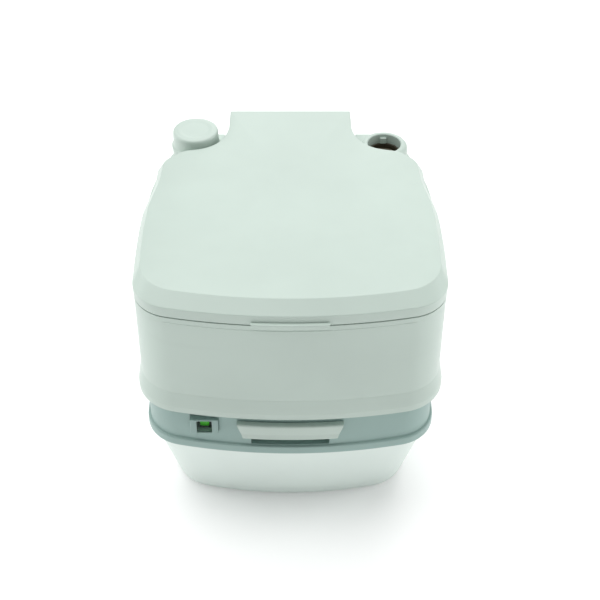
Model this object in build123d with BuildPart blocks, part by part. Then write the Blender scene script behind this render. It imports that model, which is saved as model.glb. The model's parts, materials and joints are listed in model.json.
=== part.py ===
"""Portable flush toilet: a flush-water section with bowl, seat and lid over a detachable waste section.

Millimetres, +Z up, the front faces -Y, the origin is on the floor under the middle of the body.
"""
import os
from math import cos, radians, sin

from build123d import *

os.makedirs("parts", exist_ok=True)

# ---- Driving dimensions ------------------------------------------------------------------------------
wall = 3.0
body_half_width = 187.0
body_front = -208.5
body_rear = 208.5
front_bow = 26.0
front_corner = 56.0
rear_corner = 45.0

# Heights of the two sections
tub_top = 168.0
lip_top = 180.0
deck_under = 196.0
deck_top = deck_under + wall
strip_bottom = 227.0
band_top = 233.0
skirt_bottom = 235.0
skirt_land = 9.0
skirt_top = 262.0
rear_deck = 376.0
plateau_top = 382.5

# How far each level of the body stands out from the flush tank's wall
skirt_out = 4.5
strip_in = 3.5
face_in = 6.0
lip_in = 2.5
tub_in = 9.0

# Tub foot
foot_half_width = 160.0
foot_front = -125.5
foot_rear = 178.0

# Lid
lid_bottom = 384.0
lid_bevel_bottom = 397.0
lid_bevel_top = 409.5
lid_top = 413.5
lid_front = -208.0
lid_half_width = 187.5
neck_half_width = 84.5
neck_rear = 213.0
scallop_radius = 35.0
hinge_y = 202.5
hinge_z = 398.0

# Turrets on the rear deck
pump_x, pump_y = -128.0, 155.5
fill_x, fill_y = 128.0, 156.5
turret_radius = 32.0
fill_rim = 395.0
well_radius = 22.5

# Bowl and slide valve
bowl_y = -12.0
bowl_half_x, bowl_half_y = 104.0, 132.0
outlet_y = 15.0
outlet_radius = 43.0
blade_bottom, blade_top = 207.0, 210.0
blade_half_width = 46.0
blade_rear = 64.0

# Level window
window_x = -106.7
float_pivot_y, float_pivot_z = -170.0, 211.0

# Spout niche at the rear of the tub
niche_left, niche_right = -95.0, 142.0
niche_front, niche_floor, niche_roof = 136.0, 100.0, 165.0
spout_x, spout_y, spout_z = 105.0, 168.0, 134.0
spout_end = 8.0

# Rear fittings
carry_pivot_x, carry_pivot_y, carry_pivot_z = 78.0, 207.4, 219.0
latch_y, latch_z = 207.6, 215.0
vent_x, vent_y = 100.0, -60.0


def save(part, name):
    """Label a finished part and write it."""
    part.label = name
    export_step(part, f"parts/{name}.step")


# ---- Shared outlines ---------------------------------------------------------------------------------
def plan_outline(half_width, front, rear, grow=0.0):
    """Bowed front, nearly straight sides, haunches that draw in towards a flat rear."""
    half_width, front, rear = half_width + grow, front - grow, rear + grow
    corner_x, corner_y = half_width - 1, front + front_bow
    with BuildSketch() as outline:
        with BuildLine():
            side = ThreePointArc((corner_x, corner_y), (half_width, -70), (half_width - 1.7, 0.22 * rear))
            haunch = ThreePointArc(side @ 1, (half_width - 8.5, 0.48 * rear), (half_width - 24, 0.74 * rear))
            Line(haunch @ 1, (half_width - 46, rear))
            mirror(about=Plane.YZ)
            ThreePointArc((-corner_x, corner_y), (0, front), (corner_x, corner_y))
            Line((46 - half_width, rear), (half_width - 46, rear))
        make_face()
        fillet(outline.vertices().filter_by(lambda v: abs(v.Y - corner_y) < 0.01), front_corner + grow)
        fillet(outline.vertices().filter_by(lambda v: abs(v.Y - rear) < 0.01), rear_corner + grow)
    return outline.sketch


def body_outline(grow=0.0):
    """The flush tank's plan, grown or shrunk."""
    return plan_outline(body_half_width, body_front, body_rear, grow)


def lid_outline(side_in=0.0, front_in=0.0, neck_in=0.0, rear=neck_rear):
    """The lid's plan: bowed front, sides that step in to shoulders, and a neck to the rear."""
    half = lid_half_width - side_in
    front = lid_front + front_in
    neck = neck_half_width - neck_in
    corner = (half - 1, front + front_bow)
    with BuildSketch() as outline:
        with BuildLine():
            side = ThreePointArc(corner, (half, -80), (half - 1.5, -14))
            FilletPolyline(
                side @ 1, (half - 11.5, 46), (half - 13, 94 - neck_in), (130, 122 - neck_in),
                (neck, 170 - neck_in), (neck, rear), radius=[60, 16, 20, 14],
            )
            mirror(about=Plane.YZ)
            ThreePointArc((-corner[0], corner[1]), (0, front), corner)
            Line((-neck, rear), (neck, rear))
        make_face()
        fillet(outline.vertices().filter_by(lambda v: abs(v.Y - corner[1]) < 0.01), front_corner - 4)
    return outline.sketch


# ---- Waste section: tub ------------------------------------------------------------------------------
with BuildPart() as tub_body:
    with BuildSketch():
        add(plan_outline(foot_half_width, foot_front, foot_rear))
    with BuildSketch(Plane.XY.offset(tub_top)):
        add(body_outline(-tub_in))
    loft(ruled=True)
    fillet(faces().sort_by(Axis.Z)[0].edges(), 6)

with BuildPart() as tub_hollow:
    with BuildSketch(Plane.XY.offset(wall)):
        add(plan_outline(foot_half_width, foot_front, foot_rear, -wall))
    with BuildSketch(Plane.XY.offset(tub_top)):
        add(body_outline(-tub_in - wall))
    loft(ruled=True)

with BuildPart() as niche_shell:
    with BuildSketch(Plane.XY.offset(niche_floor - wall)):
        with Locations(((niche_left + niche_right) / 2, niche_front - wall)):
            Rectangle(niche_right - niche_left + 2 * wall, 120, align=(Align.CENTER, Align.MIN))
    extrude(amount=tub_top - niche_floor + wall)
    add(tub_body.part, mode=Mode.INTERSECT)

with BuildPart() as niche_space:
    with BuildSketch(Plane.XY.offset(niche_floor)):
        with Locations(((niche_left + niche_right) / 2, niche_front)):
            Rectangle(niche_right - niche_left, 120, align=(Align.CENTER, Align.MIN))
    extrude(amount=niche_roof - niche_floor)

neck_radius, neck_bore = 20.5, 17.5
with BuildPart() as waste_tank:
    add(tub_body.part)
    add(tub_hollow.part, mode=Mode.SUBTRACT)
    add(niche_shell.part)
    add(niche_space.part, mode=Mode.SUBTRACT)
    with BuildSketch(Plane.XY.offset(niche_floor)):
        with Locations((spout_x, spout_y)):
            Circle(neck_radius)
    extrude(amount=14)
    with BuildSketch(Plane.XY.offset(niche_floor - wall)):
        with Locations((spout_x, spout_y)):
            Circle(neck_bore)
    extrude(amount=20, mode=Mode.SUBTRACT)
save(waste_tank.part, "waste_tank")

# ---- Waste section: grey cover with band, deck, pockets and lugs ------------------------------------
recess_half_width, recess_bottom, recess_depth = 49.0, 181.0, 25.0
float_slot_middle, float_slot_width, float_slot_length = -158.5, 14.0, 63.0
bezel_half_width, bezel_bottom, bezel_top = 17.5, 189.0, 222.0

with BuildPart() as tank_cover:
    with BuildSketch(Plane.XY.offset(tub_top)):
        add(body_outline(-face_in))
    extrude(amount=band_top - tub_top)
    with BuildSketch(Plane.XY.offset(tub_top)):
        add(body_outline(-lip_in))
    extrude(amount=lip_top - tub_top)
    fillet(faces().filter_by(Axis.Z).sort_by(Axis.Z)[1].outer_wire().edges(), 3)
    with BuildSketch(Plane.XY.offset(strip_bottom)):
        add(body_outline(-strip_in))
    extrude(amount=band_top - strip_bottom)
    with BuildSketch(Plane.XY.offset(tub_top)):
        add(body_outline(-tub_in - 0.5))
    extrude(amount=deck_under - tub_top, mode=Mode.SUBTRACT)
    with BuildSketch(Plane.XY.offset(deck_top)):
        add(body_outline(-tub_in))
    extrude(amount=band_top - deck_top, mode=Mode.SUBTRACT)
    # Finger recess below the valve handle, walled off from the tank
    with BuildSketch(Plane.XY.offset(recess_bottom - 2.5)):
        with Locations((0, body_front + face_in + 2)):
            Rectangle(2 * recess_half_width + 5, recess_depth + 2.5, align=(Align.CENTER, Align.MIN))
    extrude(amount=deck_under - recess_bottom + 2.5)
    with BuildSketch(Plane.XY.offset(recess_bottom)):
        with Locations((0, body_front + face_in - 10)):
            Rectangle(2 * recess_half_width, recess_depth + 12, align=(Align.CENTER, Align.MIN))
    extrude(amount=deck_under - recess_bottom, mode=Mode.SUBTRACT)
    # Slot for the valve blade and hole for the valve throat
    with BuildSketch(Plane.XY.offset(blade_bottom - 0.6)):
        with Locations((0, body_front)):
            Rectangle(2 * blade_half_width + 1.2, 24)
    extrude(amount=blade_top - blade_bottom + 1.2, mode=Mode.SUBTRACT)
    with BuildSketch(Plane.XY.offset(deck_under)):
        with Locations((0, outlet_y)):
            Circle(outlet_radius - 2)
        with Locations((vent_x, vent_y)):
            Circle(5)
        with Locations((window_x, float_slot_middle)):
            Rectangle(float_slot_width, float_slot_length)
        with GridLocations(102, 104, 2, 2):
            with Locations((0, outlet_y)):
                Circle(2.2)
    extrude(amount=wall, mode=Mode.SUBTRACT)
    # Opening for the level window
    with BuildSketch(Plane.XY.offset(deck_top)):
        with Locations((window_x, body_front + 10)):
            Rectangle(2 * bezel_half_width + 0.4, 30)
    extrude(amount=bezel_top - deck_top, mode=Mode.SUBTRACT)
    # Window for the latch tail, and lugs for the latch and the carry handle
    with BuildSketch(Plane.XY.offset(deck_top + 0.5)):
        with Locations((0, body_rear - tub_in)):
            Rectangle(32, 20)
    extrude(amount=14.5, mode=Mode.SUBTRACT)
    for side in (-1, 1):
        with BuildSketch(Plane.YZ.offset(side * 17.5)):
            with Locations((latch_y, latch_z)):
                Circle(4)
            with Locations((latch_y - 3.6, latch_z)):
                Rectangle(7.2, 8)
        extrude(amount=2, both=True)
        with BuildSketch(Plane.YZ.offset(side * (carry_pivot_x + 9.5))):
            with Locations((carry_pivot_y, carry_pivot_z)):
                Circle(4.4)
            with Locations((carry_pivot_y - 3.4, carry_pivot_z)):
                Rectangle(6.8, 8.8)
        extrude(amount=3, both=True)
    with BuildSketch(Plane.YZ):
        with Locations((latch_y, latch_z)):
            Circle(2.05)
    extrude(amount=20, both=True, mode=Mode.SUBTRACT)
    for side in (-1, 1):
        with BuildSketch(Plane.YZ.offset(side * (carry_pivot_x + 9.5))):
            with Locations((carry_pivot_y, carry_pivot_z)):
                Circle(2.05)
        extrude(amount=3.5, both=True, mode=Mode.SUBTRACT)
    # Lugs for the float pin
    with BuildSketch(Plane.YZ.offset(window_x)):
        with Locations((float_pivot_y, float_pivot_z - 5)):
            Rectangle(10, 18)
    extrude(amount=11.5, both=True)
    with BuildSketch(Plane.YZ.offset(window_x)):
        with Locations((float_pivot_y, float_pivot_z)):
            Rectangle(12, 30)
    extrude(amount=8, both=True, mode=Mode.SUBTRACT)
    with BuildSketch(Plane.YZ.offset(window_x)):
        with Locations((float_pivot_y, float_pivot_z)):
            Circle(1.55)
    extrude(amount=12, both=True, mode=Mode.SUBTRACT)
save(tank_cover.part, "tank_cover")

# ---- Waste section: level window ---------------------------------------------------------------------
def window_block(half_width, bottom, top, depth, front):
    """A block centred on the level window, from its front face back."""
    with BuildPart() as block:
        with BuildSketch(Plane.XY.offset(bottom)):
            with Locations((window_x, front)):
                Rectangle(2 * half_width, depth, align=(Align.CENTER, Align.MIN))
        extrude(amount=top - bottom)
    return block.part


window_half_width, window_bottom, window_top = 9.5, 199.5, 221.0
bezel_front = -200.5

with BuildPart() as indicator_bezel:
    add(window_block(bezel_half_width, deck_top + 0.2, bezel_top - 0.2, 9, bezel_front))
    fillet(edges().filter_by(Axis.Z).group_by(Axis.Y)[0], 1)
    with BuildSketch(Plane.XZ.offset(-bezel_front - 1)):
        with Locations((window_x, (window_bottom + window_top) / 2)):
            RectangleRounded(2 * window_half_width, window_top - window_bottom - 1.5, 1.5)
    extrude(amount=-12, both=True, mode=Mode.SUBTRACT)
    with BuildSketch(Plane.XZ.offset(-bezel_front - 1)):
        with Locations((window_x, (window_bottom + window_top) / 2)):
            Rectangle(2 * window_half_width + 4, window_top - window_bottom)
    extrude(amount=-1.5, mode=Mode.SUBTRACT)
save(indicator_bezel.part, "indicator_bezel")

with BuildPart() as indicator_window:
    with BuildSketch(Plane.XZ.offset(-bezel_front - 1)):
        with Locations((window_x, (window_bottom + window_top) / 2)):
            Rectangle(2 * window_half_width + 4, window_top - window_bottom)
    extrude(amount=-1.5)
save(indicator_window.part, "indicator_window")

# ---- Waste section: float, arm and flag on one pin ---------------------------------------------------
float_arm_length, float_rest_angle, float_radius = 68.0, 55.0, 11.0
float_y = float_pivot_y + float_arm_length * cos(radians(float_rest_angle))
float_z = float_pivot_z - float_arm_length * sin(radians(float_rest_angle))
arm_plane = Plane(
    origin=(window_x, float_pivot_y, float_pivot_z),
    x_dir=(0, cos(radians(float_rest_angle)), -sin(radians(float_rest_angle))), z_dir=(1, 0, 0),
)

with BuildPart() as float_arm:
    with BuildSketch(arm_plane):
        Circle(4.5)
        with Locations((float_arm_length / 2 - 6, 0)):
            Rectangle(float_arm_length - 12, 5)
        Circle(1.55, mode=Mode.SUBTRACT)
    extrude(amount=2, both=True)
    with BuildSketch(Plane.YZ.offset(window_x)):
        with Locations((float_pivot_y - 8, float_pivot_z)):
            Rectangle(10.5, 4)
        with Locations((float_pivot_y, float_pivot_z)):
            Circle(1.55, mode=Mode.SUBTRACT)
    extrude(amount=2, both=True)
save(float_arm.part, "float_arm")

with BuildPart() as tank_float:
    with BuildSketch(arm_plane.offset(-18)):
        with Locations((float_arm_length, 0)):
            Circle(float_radius)
    extrude(amount=36)
    fillet(edges().filter_by(GeomType.CIRCLE), 3)
    add(float_arm.part, mode=Mode.SUBTRACT)
save(tank_float.part, "tank_float")

flag_radius = 22.0
flag_low_angle, flag_high_angle = -24.0, 48.0
with BuildPart() as level_flag:
    with BuildSketch(Plane.YZ.offset(window_x)):
        with Locations((float_pivot_y, float_pivot_z)):
            Circle(flag_radius)
            Circle(flag_radius - 3, mode=Mode.SUBTRACT)
            Polygon((0, 0), *((-2 * flag_radius * cos(radians(angle)), 2 * flag_radius * sin(radians(angle)))
                              for angle in (flag_low_angle, flag_high_angle)),
                    align=None, mode=Mode.INTERSECT)
    extrude(amount=5.5, both=True)
    with BuildSketch(Plane.YZ.offset(window_x)):
        with Locations((float_pivot_y, float_pivot_z)):
            Circle(flag_radius - 1)
            Circle(4.6, mode=Mode.SUBTRACT)
        with Locations((float_pivot_y - flag_radius / 2, float_pivot_z)):
            Rectangle(flag_radius, 4, mode=Mode.INTERSECT)
    extrude(amount=1, both=True)
    add(float_arm.part, mode=Mode.SUBTRACT)
save(level_flag.part, "level_flag")

with BuildPart() as float_pin:
    with BuildSketch(Plane.YZ.offset(window_x)):
        with Locations((float_pivot_y, float_pivot_z)):
            Circle(1.5)
    extrude(amount=11.5, both=True)
save(float_pin.part, "float_pin")

# ---- Waste section: slide valve ----------------------------------------------------------------------
valve_half_x, valve_front, valve_rear = 57.0, -44.0, 74.0
valve_top = 222.0
valve_mid = (valve_front + valve_rear) / 2

with BuildPart() as valve_body:
    with BuildSketch(Plane.XY.offset(deck_top)):
        with Locations((0, valve_mid)):
            RectangleRounded(2 * valve_half_x, valve_rear - valve_front, 8)
    extrude(amount=valve_top - deck_top)
    with BuildSketch(Plane.XY.offset(blade_bottom - 0.3)):
        with Locations((0, blade_rear + 0.5)):
            Rectangle(2 * blade_half_width + 0.8, 200, align=(Align.CENTER, Align.MAX))
    extrude(amount=blade_top - blade_bottom + 0.6, mode=Mode.SUBTRACT)
    with BuildSketch(Plane.XY.offset(deck_top)):
        with Locations((0, outlet_y)):
            Circle(outlet_radius - 2)
    extrude(amount=30, mode=Mode.SUBTRACT)
    with BuildSketch(Plane.XY.offset(valve_top - 3)):
        with Locations((0, outlet_y)):
            Circle(outlet_radius + 6)
    extrude(amount=4, mode=Mode.SUBTRACT)
    with BuildSketch(Plane.XY.offset(deck_top)):
        with Locations((0, outlet_y)):
            with GridLocations(102, 104, 2, 2):
                Circle(2.1)
    extrude(amount=30, mode=Mode.SUBTRACT)
    with BuildSketch(Plane.XY.offset(valve_top - 3)):
        with Locations((0, outlet_y)):
            with GridLocations(102, 104, 2, 2):
                Circle(3.8)
    extrude(amount=4, mode=Mode.SUBTRACT)
save(valve_body.part, "valve_body")

with BuildPart() as valve_seal:
    with BuildSketch(Plane.XY.offset(valve_top - 3)):
        with Locations((0, outlet_y)):
            Circle(outlet_radius + 5.8)
            Circle(outlet_radius - 2, mode=Mode.SUBTRACT)
    extrude(amount=6.6)
    fillet(edges().group_by(Axis.Z)[-1], 1.2)
save(valve_seal.part, "valve_seal")

with BuildPart() as valve_clamp:
    with BuildSketch(Plane.XY.offset(deck_under - 4)):
        with Locations((0, valve_mid)):
            RectangleRounded(2 * valve_half_x, valve_rear - valve_front, 8)
        with Locations((0, outlet_y)):
            Circle(outlet_radius - 2, mode=Mode.SUBTRACT)
            with GridLocations(102, 104, 2, 2):
                Circle(2.1, mode=Mode.SUBTRACT)
    extrude(amount=4)
save(valve_clamp.part, "valve_clamp")

with BuildPart() as valve_screws:
    with BuildSketch(Plane.XY.offset(deck_under - 5)):
        with Locations((0, outlet_y)):
            with GridLocations(102, 104, 2, 2):
                Circle(2)
    extrude(amount=valve_top - 3 - deck_under + 5)
    with BuildSketch(Plane.XY.offset(valve_top - 3)):
        with Locations((0, outlet_y)):
            with GridLocations(102, 104, 2, 2):
                Circle(3.6)
                SlotOverall(5, 1, mode=Mode.SUBTRACT)
    extrude(amount=2.6)
save(valve_screws.part, "valve_screws")

handle_back = body_front + 1.0
with BuildPart() as valve_blade:
    with BuildSketch(Plane.XY.offset(blade_bottom)):
        with Locations((0, handle_back)):
            Rectangle(2 * blade_half_width, blade_rear - blade_half_width - handle_back,
                      align=(Align.CENTER, Align.MIN))
        with Locations((0, blade_rear - blade_half_width)):
            Circle(blade_half_width)
    extrude(amount=blade_top - blade_bottom)
    with BuildSketch(Plane.XY.offset(blade_bottom)):
        with Locations((-30, handle_back + 2.5), (30, handle_back + 2.5)):
            Circle(1.05)
    extrude(amount=blade_top - blade_bottom, mode=Mode.SUBTRACT)
save(valve_blade.part, "valve_blade")

handle_top, handle_bottom, handle_top_half, handle_bottom_half = 221.0, 198.5, 66.0, 58.5
with BuildPart() as handle_shell:
    with BuildSketch(Plane.XY.offset(handle_bottom)):
        add(body_outline(3.6))
        add(body_outline(-1.0), mode=Mode.SUBTRACT)
    extrude(amount=handle_top - handle_bottom)

with BuildPart() as handle_cap:
    with BuildSketch(Plane.XY.offset(handle_top - 3)):
        add(body_outline(3.6))
        add(body_outline(-face_in + 0.6), mode=Mode.SUBTRACT)
    extrude(amount=3)

with BuildPart() as valve_handle:
    with BuildSketch(Plane.XZ.offset(-body_front - 12)):
        Polygon(
            (-handle_top_half, handle_top), (-handle_bottom_half, handle_bottom),
            (handle_bottom_half, handle_bottom), (handle_top_half, handle_top), align=None,
        )
        fillet(vertices(), 2.5)
    extrude(amount=30)
    add((handle_shell.part + handle_cap.part), mode=Mode.INTERSECT)
    with BuildSketch(Plane.XY.offset(blade_top)):
        with Locations((0, body_front - 2)):
            Rectangle(72, 7.5, align=(Align.CENTER, Align.MIN))
    extrude(amount=3)
    with BuildSketch(Plane.XY.offset(blade_bottom)):
        with Locations((0, handle_back)):
            Rectangle(2 * blade_half_width, 8, align=(Align.CENTER, Align.MIN))
    extrude(amount=blade_top - blade_bottom, mode=Mode.SUBTRACT)
    with BuildSketch(Plane.XY.offset(blade_top)):
        with Locations((-30, handle_back + 2.5), (30, handle_back + 2.5)):
            Circle(1.05)
    extrude(amount=3, mode=Mode.SUBTRACT)
save(valve_handle.part, "valve_handle")

with BuildPart() as handle_screws:
    with BuildSketch(Plane.XY.offset(blade_bottom)):
        with Locations((-30, handle_back + 2.5), (30, handle_back + 2.5)):
            Circle(1)
    extrude(amount=6)
    with BuildSketch(Plane.XY.offset(blade_top + 3)):
        with Locations((-30, handle_back + 2.5), (30, handle_back + 2.5)):
            Circle(1.6)
    extrude(amount=1.4)
save(handle_screws.part, "handle_screws")

# ---- Waste section: vent -----------------------------------------------------------------------------
vent_travel = 4.0
with BuildPart() as vent_housing:
    with BuildSketch(Plane.XY.offset(deck_top)):
        with Locations((vent_x, vent_y)):
            Circle(14)
            Circle(3.3, mode=Mode.SUBTRACT)
    extrude(amount=2)
    with BuildSketch(Plane.XY.offset(deck_top + 2)):
        with Locations((vent_x, vent_y)):
            Circle(14)
            Circle(10.2, mode=Mode.SUBTRACT)
    extrude(amount=14)
save(vent_housing.part, "vent_housing")

with BuildPart() as vent_spring:
    with BuildLine():
        Helix(pitch=2.2, height=5.6, radius=6, center=(vent_x, vent_y, deck_top + 2.7))
    with BuildSketch(Plane(origin=(vent_x + 6, vent_y, deck_top + 2.7), z_dir=(0, 1, 0))):
        Circle(0.6)
    sweep(is_frenet=True)
save(vent_spring.part, "vent_spring")

with BuildPart() as vent_button:
    with BuildSketch(Plane.XY.offset(deck_top + 10)):
        with Locations((vent_x, vent_y)):
            Circle(9.8)
    extrude(amount=13)
    fillet(edges().group_by(Axis.Z)[-1], 1.5)
    with BuildSketch(Plane.XY.offset(deck_under - 3)):
        with Locations((vent_x, vent_y)):
            Circle(3)
    extrude(amount=16.5)
save(vent_button.part, "vent_button")

with BuildPart() as vent_disc:
    with BuildSketch(Plane.XY.offset(deck_under - 3)):
        with Locations((vent_x, vent_y)):
            Circle(9)
            Circle(3, mode=Mode.SUBTRACT)
    extrude(amount=2.8)
save(vent_disc.part, "vent_disc")

# ---- Waste section: swivelling spout with its cap ----------------------------------------------------
leg_radius, leg_bore = 23.0, 19.5
base_z = niche_floor + 1.0
with BuildPart() as spout_outside:
    with BuildSketch(Plane.XY.offset(base_z)):
        with Locations((spout_x, spout_y)):
            Circle(28)
    extrude(amount=3)
    with BuildSketch(Plane.XY.offset(base_z)):
        with Locations((spout_x, spout_y)):
            Circle(25)
    extrude(amount=spout_z - base_z)
    with Locations((spout_x, spout_y, spout_z)):
        Sphere(25)
    with BuildSketch(Plane.YZ.offset(spout_end)):
        with Locations((spout_y, spout_z)):
            Circle(leg_radius)
    extrude(amount=spout_x - spout_end)

with BuildPart() as spout_inside:
    with BuildSketch(Plane.XY.offset(base_z)):
        with Locations((spout_x, spout_y)):
            Circle(22.3)
    extrude(amount=15)
    with BuildSketch(Plane.XY.offset(base_z)):
        with Locations((spout_x, spout_y)):
            Circle(leg_bore)
    extrude(amount=spout_z - base_z)
    with Locations((spout_x, spout_y, spout_z)):
        Sphere(leg_bore)
    with BuildSketch(Plane.YZ.offset(spout_end)):
        with Locations((spout_y, spout_z)):
            Circle(leg_bore)
    extrude(amount=spout_x - spout_end)

with BuildPart() as spout:
    add(spout_outside.part)
    add(spout_inside.part, mode=Mode.SUBTRACT)
    with BuildSketch(Plane.YZ.offset(spout_end + 18)):
        with Locations((spout_y, spout_z)):
            Circle(leg_radius + 2.5)
            Circle(leg_radius - 1, mode=Mode.SUBTRACT)
    extrude(amount=3)
save(spout.part, "spout")

with BuildPart() as spout_seal:
    with BuildSketch(Plane.XY.offset(niche_floor + 9)):
        with Locations((spout_x, spout_y)):
            Circle(22.3)
            Circle(neck_radius + 0.06, mode=Mode.SUBTRACT)
    extrude(amount=2)
save(spout_seal.part, "spout_seal")

with BuildPart() as spout_collar:
    with BuildSketch(Plane.XY.offset(niche_floor)):
        with Locations((spout_x, spout_y)):
            Circle(31)
            Circle(28.3, mode=Mode.SUBTRACT)
    extrude(amount=4.4)
    with BuildSketch(Plane.XY.offset(niche_floor + 4.4)):
        with Locations((spout_x, spout_y)):
            Circle(31)
            Circle(25.3, mode=Mode.SUBTRACT)
            with PolarLocations(31, 12):
                Circle(2, mode=Mode.SUBTRACT)
    extrude(amount=4)
save(spout_collar.part, "spout_collar")

with BuildPart() as dump_cap_seal:
    with BuildSketch(Plane.YZ.offset(spout_end - 2.8)):
        with Locations((spout_y, spout_z)):
            Circle(leg_radius - 0.3)
    extrude(amount=2.5)
save(dump_cap_seal.part, "dump_cap_seal")

cap_reach = 15.0
with BuildPart() as dump_cap:
    with BuildSketch(Plane.YZ.offset(spout_end - 6.8)):
        with Locations((spout_y, spout_z)):
            Circle(27.5)
    extrude(amount=6.8 + cap_reach)
    fillet(edges().group_by(Axis.X)[0], 2.5)
    with BuildSketch(Plane.YZ.offset(spout_end - 2.8)):
        with Locations((spout_y, spout_z)):
            Circle(leg_radius + 0.35)
    extrude(amount=2.8 + cap_reach, mode=Mode.SUBTRACT)
    with BuildSketch(Plane.YZ.offset(spout_end - 6.8)):
        with Locations((spout_y, spout_z)):
            with PolarLocations(28.4, 16):
                Circle(1.6)
    extrude(amount=6.8 + cap_reach, mode=Mode.SUBTRACT)
save(dump_cap.part, "dump_cap")

# ---- Waste section: carry handle and latch -----------------------------------------------------------
carry_drop = 31.0
with BuildPart() as carry_handle:
    for side in (-1, 1):
        with BuildSketch(Plane.YZ.offset(side * carry_pivot_x)):
            with Locations((carry_pivot_y, carry_pivot_z)):
                Circle(4.1)
            with Locations((carry_pivot_y + 0.2, carry_pivot_z - carry_drop / 2)):
                Rectangle(7.4, carry_drop)
        extrude(amount=5.5, both=True)
    with BuildSketch(Plane.YZ.offset(-carry_pivot_x - 5.5)):
        with Locations((carry_pivot_y + 0.2, carry_pivot_z - carry_drop)):
            RectangleRounded(7.4, 13, 3)
    extrude(amount=2 * carry_pivot_x + 11)
    with BuildSketch(Plane.YZ):
        with Locations((carry_pivot_y, carry_pivot_z)):
            Circle(2.05)
    extrude(amount=100, both=True, mode=Mode.SUBTRACT)
save(carry_handle.part, "carry_handle")

with BuildPart() as carry_handle_pins:
    for side in (-1, 1):
        with BuildSketch(Plane.YZ.offset(side * (carry_pivot_x + 3.5))):
            with Locations((carry_pivot_y, carry_pivot_z)):
                Circle(2)
        extrude(amount=9, both=True)
save(carry_handle_pins.part, "carry_handle_pins")

latch_half_width = 14.5
catch_top = 243.0
with BuildPart() as latch_lever:
    with BuildSketch(Plane.YZ.offset(-latch_half_width)):
        with Locations((latch_y + 0.3, (201 + 251) / 2)):
            RectangleRounded(5.6, 50, 1.5)
        with Locations((latch_y, latch_z)):
            Circle(3.4)
        with Locations((latch_y - 3.2, catch_top + 3.6)):
            Rectangle(1.6, 5)
        with Locations((latch_y, latch_z)):
            Circle(2.05, mode=Mode.SUBTRACT)
    extrude(amount=2 * latch_half_width)
save(latch_lever.part, "latch_lever")

with BuildPart() as latch_pin:
    with BuildSketch(Plane.YZ.offset(-19.5)):
        with Locations((latch_y, latch_z)):
            Circle(2)
    extrude(amount=39)
save(latch_pin.part, "latch_pin")

with BuildPart() as latch_spring:
    with BuildSketch(Plane.YZ.offset(-5)):
        Polygon((202.6, 222), (203.2, 222), (204.6, 218.8), (204, 218.8), align=None)
        with Locations((202.9, 224)):
            Rectangle(0.6, 4.2)
    extrude(amount=10)
save(latch_spring.part, "latch_spring")

# ---- Flush section: tank shell -----------------------------------------------------------------------
neck_deck = 374.0
plateau_rear = 182.0
knuckle_x, knuckle_width, knuckle_radius = 53.0, 12.0, 10.0
pump_bore, pump_cylinder_radius = 18.0, 21.0

with BuildPart() as plateau_block:
    with BuildSketch(Plane.XY.offset(rear_deck - wall - 0.5)):
        add(lid_outline(1.5, 1.5, 1.5, rear=plateau_rear))
    extrude(amount=plateau_top - rear_deck + wall + 0.5)
    with Locations((pump_x, pump_y, plateau_top), (fill_x, fill_y, plateau_top)):
        Cylinder(scallop_radius, 60, mode=Mode.SUBTRACT)

with BuildPart() as plateau_hollow:
    with BuildSketch(Plane.XY.offset(rear_deck - wall - 1)):
        add(lid_outline(1.5 + wall, 1.5 + wall, 1.5 + wall, rear=plateau_rear - wall))
    extrude(amount=plateau_top - rear_deck + 1)
    with Locations((pump_x, pump_y, plateau_top), (fill_x, fill_y, plateau_top)):
        Cylinder(scallop_radius + wall, 60, mode=Mode.SUBTRACT)

with BuildPart() as skirt:
    with BuildSketch(Plane.XY.offset(skirt_bottom)):
        add(body_outline(skirt_out))
    extrude(amount=skirt_land)
    with BuildSketch(Plane.XY.offset(skirt_bottom + skirt_land)):
        add(body_outline(skirt_out))
    with BuildSketch(Plane.XY.offset(skirt_top)):
        add(body_outline(0.1))
    loft(ruled=True)

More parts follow.
